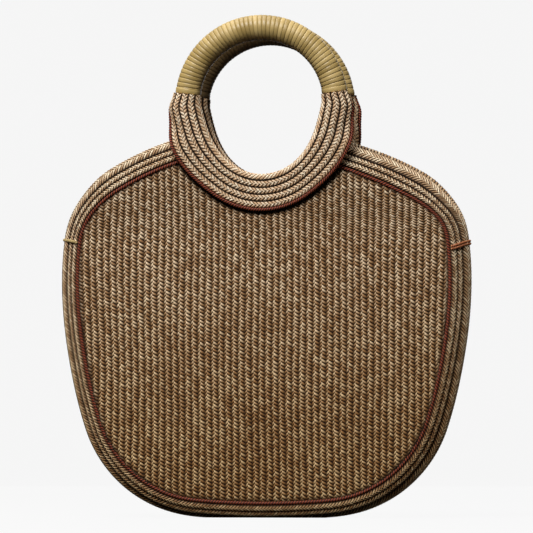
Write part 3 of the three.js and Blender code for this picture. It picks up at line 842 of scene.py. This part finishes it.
def panel_strip(number, half):
    """Points, plait vectors and seam depths of one upright row, whose strands point up. The line where they
    cross leans to the left of the middle, so the arms on the right are the long ones, and each strand is
    a little out of line and out of level."""
    middle = number * PANEL_ROW
    x = middle + (PANEL_COLUMNS - PANEL_LEAN * (1 - PANEL_COLUMNS ** 2)) * PANEL_ROW / 2
    low, high = panel_limits(x, PANEL_UNDER_PIPING)
    across, phase, along, plait = braid_grid(RING_HEIGHT, PANEL_ROW, 1, number, **PANEL_BRAID)
    wave = np.sin(along / STRAND_SHIFT_LENGTH + STRAND_SHIFT_TURN * number)
    shift = ROW_SHIFT * np.sin(ROW_SHIFT_TURN * number) + STRAND_SHIFT * wave
    z = np.clip(along + shift, low, np.maximum(high, low))
    used = np.flatnonzero((z > low).any(axis=1) & (z < high).any(axis=1))
    keep = slice(used.min() - 1, used.max() + 2)
    across, phase, z = across[keep], phase[keep], z[keep]
    strand = np.floor(phase)
    inner = 1 - across ** 2
    # Seam: how far the row sinks and how much painted shade it gets beside the piping.
    seam = seam_depth(x, z, half)
    sway = ROW_SWAY * np.sin(z / ROW_SWAY_HEIGHT + x / ROW_SWAY_WIDTH)
    wander = STRAND_WANDER * scatter(strand, number) * inner
    height = braid_height(across, phase, PANEL_EDGE_DROP, PANEL_VALLEY) - SEAM_SINK * seam
    height = height + STRAND_LIFT * scatter(strand, number + 0.5) * inner
    points = np.stack([x + sway + wander, -(panel_face + height + panel_swell(x, z)), z], axis=-1)
    return {"points": points, "plait": plait[keep], "seam": np.stack([seam, seam, seam], axis=-1)}


def make_panel(half):
    """All the rows of one panel as one mesh of strips; faces shrunk to a line at the outline are left
    out."""
    side_rows = int(HALF_WIDTH / PANEL_ROW)
    faces, joined = join_strips([panel_strip(number, half) for number in range(-side_rows, side_rows + 1)])
    points = joined.pop("points")
    tall = np.ptp(points[faces][..., 2], axis=1) > SMALLEST_FACE
    piece = mesh_piece(f"{half}_panel", on_half(settle(points, half), half), faces[tall], STRAW_PANEL,
                       **joined)
    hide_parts(f"{half}_panel_lower", f"{half}_panel_upper")
    crosses_bend(piece)
    return piece


panels = [make_panel(half) for half in HALVES]
print("panels:", len(panels), "with", face_count(panels), "faces")

# %% [markdown]
# ## The collars
# The collar is sewn from five braids round the lower part of the ring. The first is wide and folds over the
# ring; the others step outwards. At the neck they close round the ring like a sleeve. Each braid is the
# same closed strip as a rim row, carried along angles about the ring instead of headings.

# %% Collars
COLLAR_ANGLES = np.linspace(-180 - COLLAR_END_ANGLE, COLLAR_END_ANGLE, 1201)
COLLAR_BACK_SHARES = np.array([0.95, 0.05])
COLLAR_FIRST_ROW = 10


def make_collar_row(half, row):
    """One collar braid as a closed strip: lengths across the collar and angles round the ring."""
    start = sum(COLLAR_WIDTHS[:row])
    width = COLLAR_WIDTHS[row]
    middle = ring_point(COLLAR_ANGLES, *collar_section(COLLAR_ANGLES, start + width / 2, 0))
    lengths = lengths_along(middle)
    across, phase, along, plait = braid_grid(lengths[-1], width, 1, row + COLLAR_FIRST_ROW, **COLLAR_BRAID)
    angle = np.interp(along, lengths, COLLAR_ANGLES)
    height = braid_height(across, phase, ROW_EDGE_DROP, COLLAR_VALLEY)
    face = ring_point(angle, *collar_section(angle, start + (across + 1) / 2 * width, -height))
    edges = angle[:, [-1, 0]]
    back_lengths = start + COLLAR_BACK_SHARES * width
    back = ring_point(edges, *collar_section(edges, back_lengths, BRAID_THICKNESS))
    points, plait = close_strip(face, back, plait)
    name = f"{half}_collar_row_{row + 1}"
    piece = tube_piece(f"{name}_braid", stand_open(points, 1.0), half, STRAW_COLLAR, plait=plait)
    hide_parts(name)
    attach(piece, f"{half}_upper")
    return piece


collars = [make_collar_row(half, row) for half in HALVES for row in range(len(COLLAR_WIDTHS))]
print("collar rows:", len(collars), "with", face_count(collars), "faces")

# %% [markdown]
# ## The collar's facing
# A facing of thin braids covers the back of the ring, where the collar's fold leaves it bare. It is a sheet
# first, round the back of the core and then out to the collar's edge, and Solidify gives it a thickness.

# %% Collar facings
FACING_ROWS = 5
FACING_FIRST_ROW = 20
FACING_BOW = 0.55
FACING_BOW_START = 175
FACING_BOW_TURN = 125
FACING_RELIEF = 0.5
FACING_SINK = 1.2 * MM
FACING_OVERHANG = 2 * MM
FACING_THICKNESS = 0.6 * MM


def facing_section(angle, share, height):
    """Reach and rise of the facing, a share of the way across it: first round the back of the core, by the
    bow's turn about it, then straight out to the collar's outer edge."""
    around = np.radians(FACING_BOW_START - FACING_BOW_TURN * np.minimum(share / FACING_BOW, 1))
    radius = collar_fold(right_side(angle)) - FACING_SINK + height
    out = np.maximum(share - FACING_BOW, 0) / (1 - FACING_BOW)
    end = np.full(angle.shape, collar_length + FACING_OVERHANG)
    end_reach, end_rise = collar_section(angle, end, BRAID_THICKNESS)
    reach = radius * np.cos(around)
    rise = radius * np.sin(around)
    return reach + (end_reach - reach) * out, rise + (end_rise + height - rise) * out


def facing_strip(row):
    """Points and plait vectors of one of the facing's braids."""
    middle = np.full(COLLAR_ANGLES.shape, (row + 0.5) / FACING_ROWS)
    lengths = lengths_along(ring_point(COLLAR_ANGLES, *facing_section(COLLAR_ANGLES, middle, 0)))
    across, phase, along, plait = braid_grid(lengths[-1], COLLAR_WIDTHS[-1], 1, row + FACING_FIRST_ROW,
                                             **FACING_BRAID)
    angle = np.interp(along, lengths, COLLAR_ANGLES)
    height = FACING_RELIEF * braid_height(across, phase, ROW_EDGE_DROP, COLLAR_VALLEY)
    points = ring_point(angle, *facing_section(angle, (row + (across + 1) / 2) / FACING_ROWS, height))
    return {"points": points, "plait": plait}


def make_collar_facing(half):
    """Plaited facing behind the ring: thin braids side by side, without faces shrunk to a line."""
    faces, joined = join_strips([facing_strip(row) for row in range(FACING_ROWS)])
    points = joined.pop("points")
    used = np.linalg.norm(points[faces[:, 2]] - points[faces[:, 0]], axis=1) > SMALLEST_FACE
    piece = mesh_piece(f"{half}_collar_facing", on_half(stand_open(points, 1.0), half), faces[used],
                       STRAW_COLLAR, inside=True, **joined)
    thicken = piece.modifiers.new("thickness", "SOLIDIFY")
    thicken.thickness = FACING_THICKNESS
    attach(piece, f"{half}_upper")
    return piece


facings = [make_collar_facing(half) for half in HALVES]
print("collar facings:", len(facings), "with", face_count(facings), "faces")

# %% [markdown]
# ## Piping
# A red-brown cord of two twisted yarns runs between panel and rim and along the collar's outer edge. Two
# tubes wound round each other would hide half their faces. One surface does it: its section is widest along
# the line through both yarns and narrow across it, and that line turns as it goes along the cord, which
# makes the diagonal lay of a twisted cord.

# %% Cord material
CORD_GRAIN = (14.0, 1.3)
# Where the painted shade in the groove between the plies fades out.
CORD_GROOVE = (0.45, 1.0)
CORD_FIBRE = (0.25, 0.75, 0.5, 1.0)


def cord_material(name, dark, light, roughness):
    """Yarn with painted shade in the groove between the plies and lighter on their crests, with fine fibres
    along them.
    """
    material, tree = new_material(name)
    crest, turn, length = separate(tree, point_vector(tree, "yarn"))
    grain = combine(tree, compute(tree, "MULTIPLY", turn, CORD_GRAIN[0]),
                    compute(tree, "MULTIPLY", length, CORD_GRAIN[1]))
    fibre = noise(tree, grain, scale=1.0, detail=3.0)
    # Painted shade: dark in the groove between the plies, light on their crests.
    lit = compute(tree, "MULTIPLY", remap(tree, crest, *CORD_GROOVE), remap(tree, fibre, *CORD_FIBRE))
    return shade(material, {
        "Base Color": mix_colour(tree, lit, dark, light),
        "Normal": bump(tree, fibre, strength=0.4, distance=0.2 * MM),
        "Roughness": roughness,
        "Specular IOR Level": 0.3})


PIPING = cord_material("piping_cord", srgb(36, 6, 3), srgb(172, 82, 50), 0.6)
print("cord material:", PIPING.name)

# %% Piping cords
CORD_LAY = 5.2 * MM
CORD_RADIUS = 1.6 * MM
COLLAR_CORD_LAY = 4.6 * MM
COLLAR_CORD_RADIUS = 1.5 * MM
COLLAR_CORD_SEAT = 0.8
COLLAR_CORD_INSET = 2.5 * MM
COLLAR_CORD_INSET_START = -10
CORD_SIDES = 12
CORD_STEP = 0.6 * MM
CORD_WAIST = 0.6
PIPING_TUCK = 12 * MM
FRONTWARDS = np.array([[0.0, -1.0, 0.0]])


def twisted_cord(path, side, up, radius, lay):
    """Closed cord of two twisted yarns along a path: at an angle around it the radius is R (w + (1 - w)
    |cos|) of that angle less the twist, with the waist w, set up on the path's side and up directions."""
    length = lengths_along(path)[:, None]
    around = np.linspace(0, 2 * np.pi, CORD_SIDES, endpoint=False)
    turn = around - 2 * np.pi * length / lay
    crest = np.abs(np.cos(turn))
    reach = (radius * (CORD_WAIST + (1 - CORD_WAIST) * crest))[..., None]
    away = np.cos(around)[:, None] * side[:, None] + np.sin(around)[:, None] * up[:, None]
    points = path[:, None] + reach * away
    yarn = np.stack([crest, np.mod(turn, 2 * np.pi) / (2 * np.pi), length / lay + 0 * turn], axis=-1)
    return points, yarn


def piping_line(heading):
    """Middle of the rim piping at a heading: on the outline, sunk a little into the panel's face."""
    x, z = outline_point(heading, 0 * heading)
    return np.stack([x, 0 * x + PIPING_SINK - panel_face, z], axis=-1)


def make_rim_piping(half):
    """Piping along the outline, from under one side of the collar round to the other."""
    headings, lengths = sewn_length(piping_line, PIPING_TUCK)
    heading = np.interp(np.arange(0, lengths[-1], CORD_STEP), lengths, headings)
    turn = np.radians(heading)
    side = np.stack([np.sin(turn), 0 * turn, -np.cos(turn)], axis=-1)
    points, yarn = twisted_cord(piping_line(heading), side, FRONTWARDS, CORD_RADIUS, CORD_LAY)
    name = f"{half}_rim_piping"
    piece = tube_piece(name, settle(points, half), half, PIPING, yarn=yarn)
    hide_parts(f"{name}_lower", f"{name}_upper_left", f"{name}_upper_right")
    crosses_bend(piece)
    return piece


def make_collar_piping(half):
    """Piping along the collar's outer edge, from one end of the grip to the other, drawn in at the neck."""
    edge = collar_length + COLLAR_CORD_SEAT * COLLAR_CORD_RADIUS
    reach, rise = collar_section(COLLAR_ANGLES, edge, BRAID_THICKNESS - PIPING_RADIUS)
    drawn = smooth(right_side(COLLAR_ANGLES), COLLAR_CORD_INSET_START, COLLAR_END_ANGLE)
    line = ring_point(COLLAR_ANGLES, reach - COLLAR_CORD_INSET * drawn, rise)
    lengths = lengths_along(line)
    angle = np.interp(np.arange(0, lengths[-1], CORD_STEP), lengths, COLLAR_ANGLES)
    side = np.stack([np.cos(np.radians(angle)), 0 * angle, np.sin(np.radians(angle))], axis=-1)
    points, yarn = twisted_cord(resample(line, COLLAR_ANGLES, angle), side, FRONTWARDS,
                                COLLAR_CORD_RADIUS, COLLAR_CORD_LAY)
    piece = tube_piece(f"{half}_collar_cord", stand_open(points, 1.0), half, PIPING, yarn=yarn)
    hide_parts(f"{half}_collar_piping")
    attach(piece, f"{half}_upper")
    return piece


pipings = [make(half) for half in HALVES for make in (make_rim_piping, make_collar_piping)]
print("piping cords:", len(pipings), "with", face_count(pipings), "faces")

# %% [markdown]
# ## The leather grip
# A narrow strip of tan leather is wound round the upper arc of each ring, edge to edge, about fifty times.
# Separate rings of leather would be simpler, but their joints would show as closed loops. So it is one
# unbroken strip: its points follow a helix round the ring, and its section is a crowned bar. At each end a
# wider flat turn covers the start of the winding. The inside of the ring, where the other handle shades it,
# is painted darker as painted shade.

# %% Leather material
# Painted shade on the inside of the ring, where the other handle shades it.
PAINTED_SHADE_SIDE = math.radians(138)
PAINTED_SHADE_RANGE = (-0.05, 0.8)
PAINTED_SHADE_SHARE = 0.88
TURN_TONE_SHARE = 0.3
# Painted shade in the grooves between the turns.
GROOVE_SHARE = 0.4
GROOVE_PLACE = (0.74, 1.0)
MOTTLE_SCALE = 60.0
TAN_RANGE = (0.2, 0.8)
TAN_TONES = (srgb(158, 132, 74), srgb(204, 176, 114))
PAINTED_SHADE_COLOUR = srgb(44, 24, 9)
GROOVE_COLOUR = srgb(80, 60, 22)
LEATHER_GLOSS = (0.3, 0.7, 0.4, 0.52)


def painted_shade(spin):
    """Painted shade at an angle about the ring's line: 1 on the side that faces the ring's middle and
    the other handle, which shade it, falling smoothly to 0 on the outside."""
    return smooth(np.cos(spin - PAINTED_SHADE_SIDE), *PAINTED_SHADE_RANGE)


def leather_material():
    """Smooth tan leather: soft mottling, painted shade on the inside of the ring where the other handle
    shades it, painted shade in the grooves between the turns, satin gloss."""
    material, tree = new_material("leather_strap")
    across, turn, shade_mask = separate(tree, point_vector(tree, "wound"))
    mottle = noise(tree, object_place(tree), scale=MOTTLE_SCALE, detail=3.0)
    number = compute(tree, "FLOOR", turn)
    tone = add_node(tree, "ShaderNodeTexWhiteNoise", {"W": number}, noise_dimensions="1D").outputs["Value"]
    blend = compute(tree, "ADD", compute(tree, "MULTIPLY", mottle, 1.0 - TURN_TONE_SHARE),
                    compute(tree, "MULTIPLY", tone, TURN_TONE_SHARE))
    tan = mix_colour(tree, remap(tree, blend, *TAN_RANGE), *TAN_TONES)
    # Painted shade: the inside of the ring goes dark brown.
    tan = mix_colour(tree, compute(tree, "MULTIPLY", shade_mask, PAINTED_SHADE_SHARE), tan, PAINTED_SHADE_COLOUR)
    # Painted shade in the grooves between the turns.
    groove = remap(tree, compute(tree, "ABSOLUTE", across), *GROOVE_PLACE)
    groove = compute(tree, "MULTIPLY", groove, GROOVE_SHARE)
    return shade(material, {
        "Base Color": mix_colour(tree, groove, tan, GROOVE_COLOUR),
        "Roughness": remap(tree, mottle, *LEATHER_GLOSS),
        "Normal": bump(tree, mottle, strength=0.15, distance=0.3 * MM),
        "Specular IOR Level": 0.5,
        "Coat Weight": 0.06,
        "Coat Roughness": 0.3})


LEATHER = leather_material()
print("leather:", LEATHER.name)

# %% Leather strap
STRAP_TURNS = 50
STRAP_STEPS = 44
STRAP_ACROSS = np.array([-1, -0.95, -0.8, -0.4, 0, 0.4, 0.8, 0.95, 1])
STRAP_CROWN = 0.15 * MM
STRAP_EDGE = 0.3 * MM
STRAP_EDGE_START = 0.78
STRAP_FILL = 0.99
STRAP_CREASE = math.radians(55)
CUFF_WIDTH = 4.5 * MM
CUFF_ANGLE = math.degrees(CUFF_WIDTH / RING_RADIUS)
CUFF_GAP_ANGLE = 0.1
CUFF_LIFT = 0.25 * MM
CUFF_SIDES = 48
CUFF_ALONG = np.array([0, 0, 0.05, 0.16, 0.5, 0.84, 0.97, 1, 1])
CUFF_DROP = np.array([1.9, 0.6, 0.25, 0.05, 0, 0.05, 0.25, 0.6, 1.9]) * MM
CUFF_FLAT = 0.6
CUFF_TURN = 90.5


def make_strap(half):
    """The winding as a closed strip on a helix: at turn t the strip lies at the angle start + pitch (t +
    its share across), and spins once round the ring for each turn."""
    start = COLLAR_END_ANGLE + CUFF_ANGLE / 4
    pitch = (180 - 2 * start) / (STRAP_TURNS + 1)
    turn = np.arange(STRAP_TURNS * STRAP_STEPS + 1)[:, None] / STRAP_STEPS
    spin = 2 * np.pi * turn
    rounded = STRAP_EDGE * smooth(np.abs(STRAP_ACROSS), STRAP_EDGE_START, 1)
    crown = strap_outer - STRAP_CROWN * np.abs(STRAP_ACROSS) ** 3 - rounded + 0 * turn
    inner = strap_inner + 0 * turn
    angle = start + pitch * (turn + (STRAP_FILL * STRAP_ACROSS + 1) / 2)
    face = ring_point(angle, crown * np.cos(spin), crown * np.sin(spin))
    under = ring_point(angle[:, [-1, 0]], inner * np.cos(spin), inner * np.sin(spin))
    # The third part is how much painted shade the inside of the ring gets.
    wound = np.stack(np.broadcast_arrays(STRAP_ACROSS, turn, painted_shade(spin)), axis=-1)
    points, wound = close_strip(face, under, wound)
    piece = tube_piece(f"{half}_strap", stand_open(points, 1.0), half, LEATHER, wound=wound)
    piece.data.set_sharp_from_angle(angle=STRAP_CREASE)
    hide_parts(f"{half}_handle_strap")
    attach(piece, f"{half}_upper")
    return piece


def make_cuff(half, end):
    """The wide flat turn at one end of the grip: a short sleeve, whose profile drops from its
    face in rounded edges and closes onto the core."""
    around = np.linspace(0, 2 * np.pi, CUFF_SIDES, endpoint=False)
    angle = (COLLAR_END_ANGLE + CUFF_GAP_ANGLE + CUFF_ALONG * CUFF_ANGLE)[:, None]
    angle = angle if end == "right" else 180 - angle
    radius = (strap_outer + CUFF_LIFT - CUFF_DROP)[:, None]
    points = ring_point(angle + 0 * around, radius * np.cos(around), radius * np.sin(around))
    across = CUFF_FLAT * (2 * CUFF_ALONG[:, None] - 1)
    # The third part is how much painted shade the inside of the ring gets.
    wound = np.stack(np.broadcast_arrays(across, CUFF_TURN, painted_shade(around)), axis=-1)
    rings, count = points.shape[:2]
    piece = mesh_piece(f"{half}_strap_end_{end}", on_half(stand_open(points, 1.0), half),
                       grid_faces(rings, count, True), LEATHER, wound=wound)
    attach(piece, f"{half}_upper")
    return piece


straps = [make_strap(half) for half in HALVES]
cuffs = [make_cuff(half, end) for half in HALVES for end in ("left", "right")]
print("straps:", len(straps), "with", face_count(straps), "faces; wide ends:", len(cuffs))

# %% [markdown]
# ## Lining
# A tan cotton sheet lies behind each panel, and a strip of the same cloth faces the inside of the rim, so
# that it shows where the mouth stands open. The seams hold both flat, so they need no cloth simulation:
# each is a grid between known lines, with a faint ripple.

# %% Lining cloth
THREAD_SCALE = 380.0
THREAD_WAVER = 0.6
WEAVE_SHARE = 0.35
CREASE_SCALE = 25.0
CREASE_SHARE = 0.8
CLOTH_LIGHT = (0.25, 0.95)
CLOTH_TONES = (srgb(196, 168, 132), srgb(244, 222, 188))


def lining_material():
    """Plain-woven cotton: crossing threads from two fine waves, with soft creases of light and shade."""
    material, tree = new_material("lining_cloth")
    place = object_place(tree)
    thread = {"Vector": place, "Scale": THREAD_SCALE, "Distortion": THREAD_WAVER}
    waves = [add_node(tree, "ShaderNodeTexWave", thread, bands_direction=axis).outputs[1] for axis in "XZ"]
    weave = compute(tree, "MULTIPLY", *waves)
    crease = noise(tree, place, scale=CREASE_SCALE, detail=3.0)
    lit = compute(tree, "ADD", compute(tree, "MULTIPLY", weave, WEAVE_SHARE),
                  compute(tree, "MULTIPLY", crease, CREASE_SHARE))
    return shade(material, {
        "Base Color": mix_colour(tree, remap(tree, lit, *CLOTH_LIGHT), *CLOTH_TONES),
        "Normal": bump(tree, lit, strength=0.25, distance=0.3 * MM),
        "Roughness": 0.8,
        "Sheen Weight": 0.1})


LINING = lining_material()
print("lining cloth:", LINING.name)

# %% Lining sheets
LINING_INSET = 3 * MM
LINING_DEPTH = BRAID_THICKNESS + 2 * FIT_GAP
LINING_COLUMNS = 121
LINING_ROWS = 81
LINING_FILL = 0.9995
LINING_RIPPLE = 0.25 * MM
RIPPLE_WIDTH = 19 * MM
RIPPLE_HEIGHT = 31 * MM


def make_lining(half):
    """Sheet behind the panel, from the outline's lower branch up to its upper branch or the collar."""
    width = outline_point(np.array(90.0), -LINING_INSET)[0]
    x = np.sin(np.linspace(-np.pi / 2, np.pi / 2, LINING_COLUMNS)) * width * LINING_FILL
    low, high = panel_limits(x, LINING_INSET)
    z = low + (high - low) * np.linspace(0, 1, LINING_ROWS)[:, None]
    ripple = LINING_RIPPLE * np.sin(x / RIPPLE_WIDTH) * np.sin(z / RIPPLE_HEIGHT)
    points = settle(np.stack([x + 0 * z, LINING_DEPTH - panel_face + ripple, z], axis=-1), half)
    piece = mesh_piece(f"{half}_lining", on_half(points, half), grid_faces(*z.shape), LINING, inside=True)
    crosses_bend(piece)
    return piece


linings = [make_lining(half) for half in HALVES]
for half, piece in zip(HALVES, linings):
    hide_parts(f"{half}_lining_upper")
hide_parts("lining_lower")
print("lining sheets:", len(linings), "with", face_count(linings), "faces")

# %% Rim facings
RIM_FACING_DEPTH = BRAID_THICKNESS + FIT_GAP
RIM_FACING_OVERLAP = 2 * MM
RIM_FACING_TUCK = RIM_TUCK + 3 * MM
RIM_FACING_POINTS = 361
RIM_FACING_LOWEST = 1.5 * MM
RIM_FACING_PLACES = [(0, 0.1, 1), (0, 0.8, 1), (1, 0.2, 1), (1, 0.8, 1), (2, 0.15, 1), (2, 0.6, 1),
                     (2, 0.84, 0.95), (2, 0.94, 0.75)]


def facing_edge(heading):
    """The facing's inner edge at a heading, inside the lining's own edge."""
    x, z = outline_point(heading, 0 * heading - LINING_INSET - RIM_FACING_OVERLAP)
    return np.stack([x, 0 * x + LINING_DEPTH + FIT_GAP - panel_face, z], axis=-1)


def behind_row(row, share, depth):
    """A line behind a rim row, a share of the way across it, as a function of the heading."""
    return lambda heading: rim_point(heading, row, share, 0 * heading - RIM_FACING_DEPTH * depth)


def facing_lines():
    """Long lines of the rim facing, each with as many points: its inner edge, then some behind every row.
    Each starts and ends just past the ends of the rows under the collar."""
    lines = []
    for line in [facing_edge] + [behind_row(*place) for place in RIM_FACING_PLACES]:
        headings, lengths = sewn_length(line, RIM_FACING_TUCK)
        even = np.linspace(0, lengths[-1], RIM_FACING_POINTS)
        lines.append(line(np.interp(even, lengths, headings)))
    return np.stack(lines, axis=1)


def make_rim_facing(half):
    """Strip of cloth inside the rim, from the lining's edge over the backs of the rows to the free edge."""
    points = settle(facing_lines(), half)
    points[..., 2] = np.maximum(points[..., 2], RIM_FACING_LOWEST)
    piece = mesh_piece(f"{half}_rim_facing", on_half(points, half), grid_faces(*points.shape[:2]), LINING,
                       inside=True)
    crosses_bend(piece)
    return piece


rim_facings = [make_rim_facing(half) for half in HALVES]
print("rim facings:", len(rim_facings), "with", face_count(rim_facings), "faces")

# %% [markdown]
# ## Bar tacks
# Where the mouth ends, two strands of waxed thread pass over the rim from the front piping to the back one
# and hold the halves together. The thread on the left is olive, the one on the right orange-brown. Each
# strand is a twisted cord again, on a path that is laid over the rows and then eased, as tight thread is.

# %% Bar tacks
TACK_DROPS = {"left": -8.5 * MM, "right": 4.0 * MM}
TACK_SLANT = 4.2 * MM
TACK_SPREAD = 2.3 * MM
TACK_RISE = 0.8 * MM
TACK_SINK = 0.9 * MM
TACK_SHARES = np.linspace(0.04, 0.96, 9)
TACK_POINTS = 181
EASE_POINTS = 9
THREAD_RADIUS = 1.15 * MM
THREAD_LAY = 3.4 * MM
THREADS = {"left": cord_material("left_thread", srgb(122, 92, 46), srgb(238, 214, 152), 0.5),
           "right": cord_material("right_thread", srgb(104, 44, 18), srgb(236, 156, 104), 0.5)}


def tack_path(side, drop):
    """Line over the rim by the bend, swollen with it: across the three front rows, over the seam, and back.
    A running mean over a few points eases it."""
    rows = range(len(RIM_WIDTHS))
    height = np.full(TACK_SHARES.shape, TACK_RISE)
    front = []
    for row in rows:
        slant = TACK_SLANT * ((row + TACK_SHARES) / len(rows) - 0.5)
        heading = SIDE_END - np.degrees((drop - slant) / ARC_RADII[2])
        front.append(rim_point(heading, row, TACK_SHARES, height))
    front = np.concatenate([front[0][:1] + [[0, TACK_SINK, 0]], *front])
    line = np.concatenate([front, front[::-1] * [1, -1, 1]])
    fine = resample(line, np.arange(len(line)), np.linspace(0, len(line) - 1, TACK_POINTS))
    padded = np.pad(fine, ((EASE_POINTS // 2, EASE_POINTS // 2), (0, 0)), mode="edge")
    mean = np.ones(EASE_POINTS) / EASE_POINTS
    eased = np.stack([np.convolve(padded[:, k], mean, "valid") for k in range(3)], axis=-1)
    eased[:, 0] += side_swell(eased[:, 0], eased[:, 2], "front")
    return eased * [side, 1, 1]


def make_tack(name, side):
    """Two twisted strands side by side, as one piece."""
    strands = []
    for place in (-0.5, 0.5):
        path = tack_path(side, TACK_DROPS[name] + place * TACK_SPREAD)
        ahead = np.gradient(path, axis=0)
        ahead /= np.linalg.norm(ahead, axis=1, keepdims=True)
        out = np.cross(ahead, [0.0, 0.0, 1.0])
        out /= np.linalg.norm(out, axis=1, keepdims=True)
        strands.append(twisted_cord(path, out, np.cross(out, ahead), THREAD_RADIUS, THREAD_LAY))
    rings, count = strands[0][0].shape[:2]
    points = np.concatenate([p for p, _ in strands])
    yarn = np.concatenate([y for _, y in strands])
    faces = grid_faces(rings, count, True)
    faces = np.concatenate([faces, faces + rings * count])
    caps = ring_caps(rings, count)
    caps = caps + [cap + rings * count for cap in caps]
    piece = mesh_piece(f"{name}_tack_thread", points, faces, THREADS[name], caps, yarn=yarn)
    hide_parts(f"{name}_bar_tack")
    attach(piece, "bag_base")
    return piece


tacks = [make_tack("left", -1), make_tack("right", 1)]
print("tacks:", [p.name for p in tacks])

# %% [markdown]
# ## The ring core
# Inside each grip is a bent cane. Leather and straw hide it, so it keeps its CAD shape and gets a plain
# cane material, with grain along X.

# %% Core material
CANE_GRAIN = (20.0, 300.0, 300.0)


def cane_material():
    """Pale cane with long grain from a noise stretched along one axis."""
    material, tree = new_material("ring_core")
    stretch = {"Vector": object_place(tree), "Scale": CANE_GRAIN}
    long = add_node(tree, "ShaderNodeMapping", stretch).outputs[0]
    grain = noise(tree, long, scale=1.0, detail=3.0)
    return shade(material, {
        "Base Color": mix_colour(tree, grain, srgb(140, 106, 62), srgb(206, 172, 120)),
        "Roughness": 0.6})


CANE = cane_material()
for half in HALVES:
    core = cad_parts[f"{half}_handle_core"]
    core.data.materials.clear()
    core.data.materials.append(CANE)
print("cane on", len(HALVES), "ring cores")

# %% [markdown]
# ## Studio
# A pale floor sweeps up all round the bag, so that no view has a horizon. It glows for the camera alone and
# sends little light back, which keeps the underside of the bag dark. A large soft light shines from above
# on the left, a weaker one from the right, one from overhead and one from behind, in an even surround.

# %% Floor and lights
FLOOR_GLOW = 0.915
FLOOR_REACH = 8.0
FLOOR_BEND = 2.0
FLOOR_TOP = 6.0
FLOOR_SIDES = 64
FLOOR_TONES = [(0.02, 0.02, 0.02, 1.0), (0.022, 0.022, 0.022, 1.0)]
LIGHTS = {"key": {"place": (-0.4, -1.85, 2.15), "aim": (0, 0, 0.25), "size": 1.3, "power": 82},
          "fill": {"place": (2.2, -0.8, 0.3), "aim": (0, 0, 0.12), "size": 1.2, "power": 2.5},
          "top": {"place": (-0.5, 0.1, 2.1), "aim": (0, 0, 0.3), "size": 1.2, "power": 20},
          "back": {"place": (-0.3, 2.6, 1.1), "aim": (0, 0, 0.2), "size": 3.0, "power": 32}}
SURROUND_COLOUR = (1.0, 0.94, 0.86, 1.0)
SURROUND_STRENGTH = 0.17


def floor_material():
    """Dull floor that shows pale to the camera and sends little light back to the bag."""
    material, tree = new_material("pale_floor")
    grain = noise(tree, object_place(tree), scale=3.0, detail=2.0)
    seen = add_node(tree, "ShaderNodeLightPath").outputs["Is Camera Ray"]
    return shade(material, {
        "Base Color": mix_colour(tree, grain, *FLOOR_TONES),
        "Roughness": 0.9,
        "Specular IOR Level": 0.0,
        "Emission Color": (1.0, 1.0, 1.0, 1.0),
        "Emission Strength": compute(tree, "MULTIPLY", seen, FLOOR_GLOW)})


def make_floor():
    """Pale sweep: a flat round floor that bends up into a wall, as one profile turned about Z."""
    bend = np.radians(np.linspace(0, 90, 13))
    reach = np.concatenate([[0.01], FLOOR_REACH + FLOOR_BEND * np.sin(bend), [FLOOR_REACH + FLOOR_BEND]])
    height = np.concatenate([[0.0], FLOOR_BEND - FLOOR_BEND * np.cos(bend), [FLOOR_TOP]])
    around = np.linspace(0, 2 * np.pi, FLOOR_SIDES, endpoint=False)
    out = np.stack([np.cos(around), np.sin(around)], axis=-1)
    points = np.concatenate([reach[:, None, None] * out, height[:, None, None] + 0 * out[:, :1]], axis=-1)
    floor = mesh_piece("floor", points, grid_faces(*points.shape[:2], True), floor_material(), inside=True)


def make_light(name, place, aim, size, power):
    """Square area light at a place, turned to shine at a point."""
    data = bpy.data.lights.new(name, "AREA")
    data.energy = power
    data.size = size
    light = bpy.data.objects.new(name, data)
    light.location = place
    light.rotation_euler = (Vector(aim) - Vector(place)).to_track_quat("-Z", "Y").to_euler()
    bpy.context.collection.objects.link(light)


make_floor()
for name, settings in LIGHTS.items():
    make_light(name, **settings)
world = bpy.data.worlds.new("surround")
world.use_nodes = True
feed(world.node_tree, world.node_tree.nodes["Background"],
     {"Color": SURROUND_COLOUR, "Strength": SURROUND_STRENGTH})
bpy.context.scene.world = world
bpy.context.scene.view_settings.view_transform = "Standard"
print("lights:", list(LIGHTS))

# %% [markdown]
# ## Camera
# The camera stands a little to the right of the bag and just below the height of its middle, far enough
# away to see it nearly square on. Its lens follows from the scale that the picture should have.

# %% Camera
IMAGE_SIZE = 533
MM_PER_PIXEL = 0.9
CAMERA_AZIMUTH = 9.0
CAMERA_ELEVATION = -2.3
CAMERA_DISTANCE = 4.0
CAMERA_REACH = 100
CAMERA_AIM = Vector((0.001, 0, 0.2256))
SENSOR_WIDTH = 36.0


def make_camera():
    """Camera on a line through the aim point, with a lens that gives the picture's scale at that point."""
    azimuth, elevation = math.radians(CAMERA_AZIMUTH), math.radians(CAMERA_ELEVATION)
    back = Vector((math.sin(azimuth) * math.cos(elevation), -math.cos(azimuth) * math.cos(elevation),
                   math.sin(elevation)))
    data = bpy.data.cameras.new("camera")
    data.sensor_width = SENSOR_WIDTH
    data.lens = SENSOR_WIDTH * CAMERA_DISTANCE / (IMAGE_SIZE * MM_PER_PIXEL * MM)
    data.clip_end = CAMERA_REACH
    camera = bpy.data.objects.new("camera", data)
    camera.location = CAMERA_AIM + back * CAMERA_DISTANCE
    camera.rotation_euler = (-back).to_track_quat("-Z", "Y").to_matrix().to_euler()
    bpy.context.collection.objects.link(camera)
    bpy.context.scene.camera = camera
    return camera


camera = make_camera()
print("lens:", round(camera.data.lens), "mm")
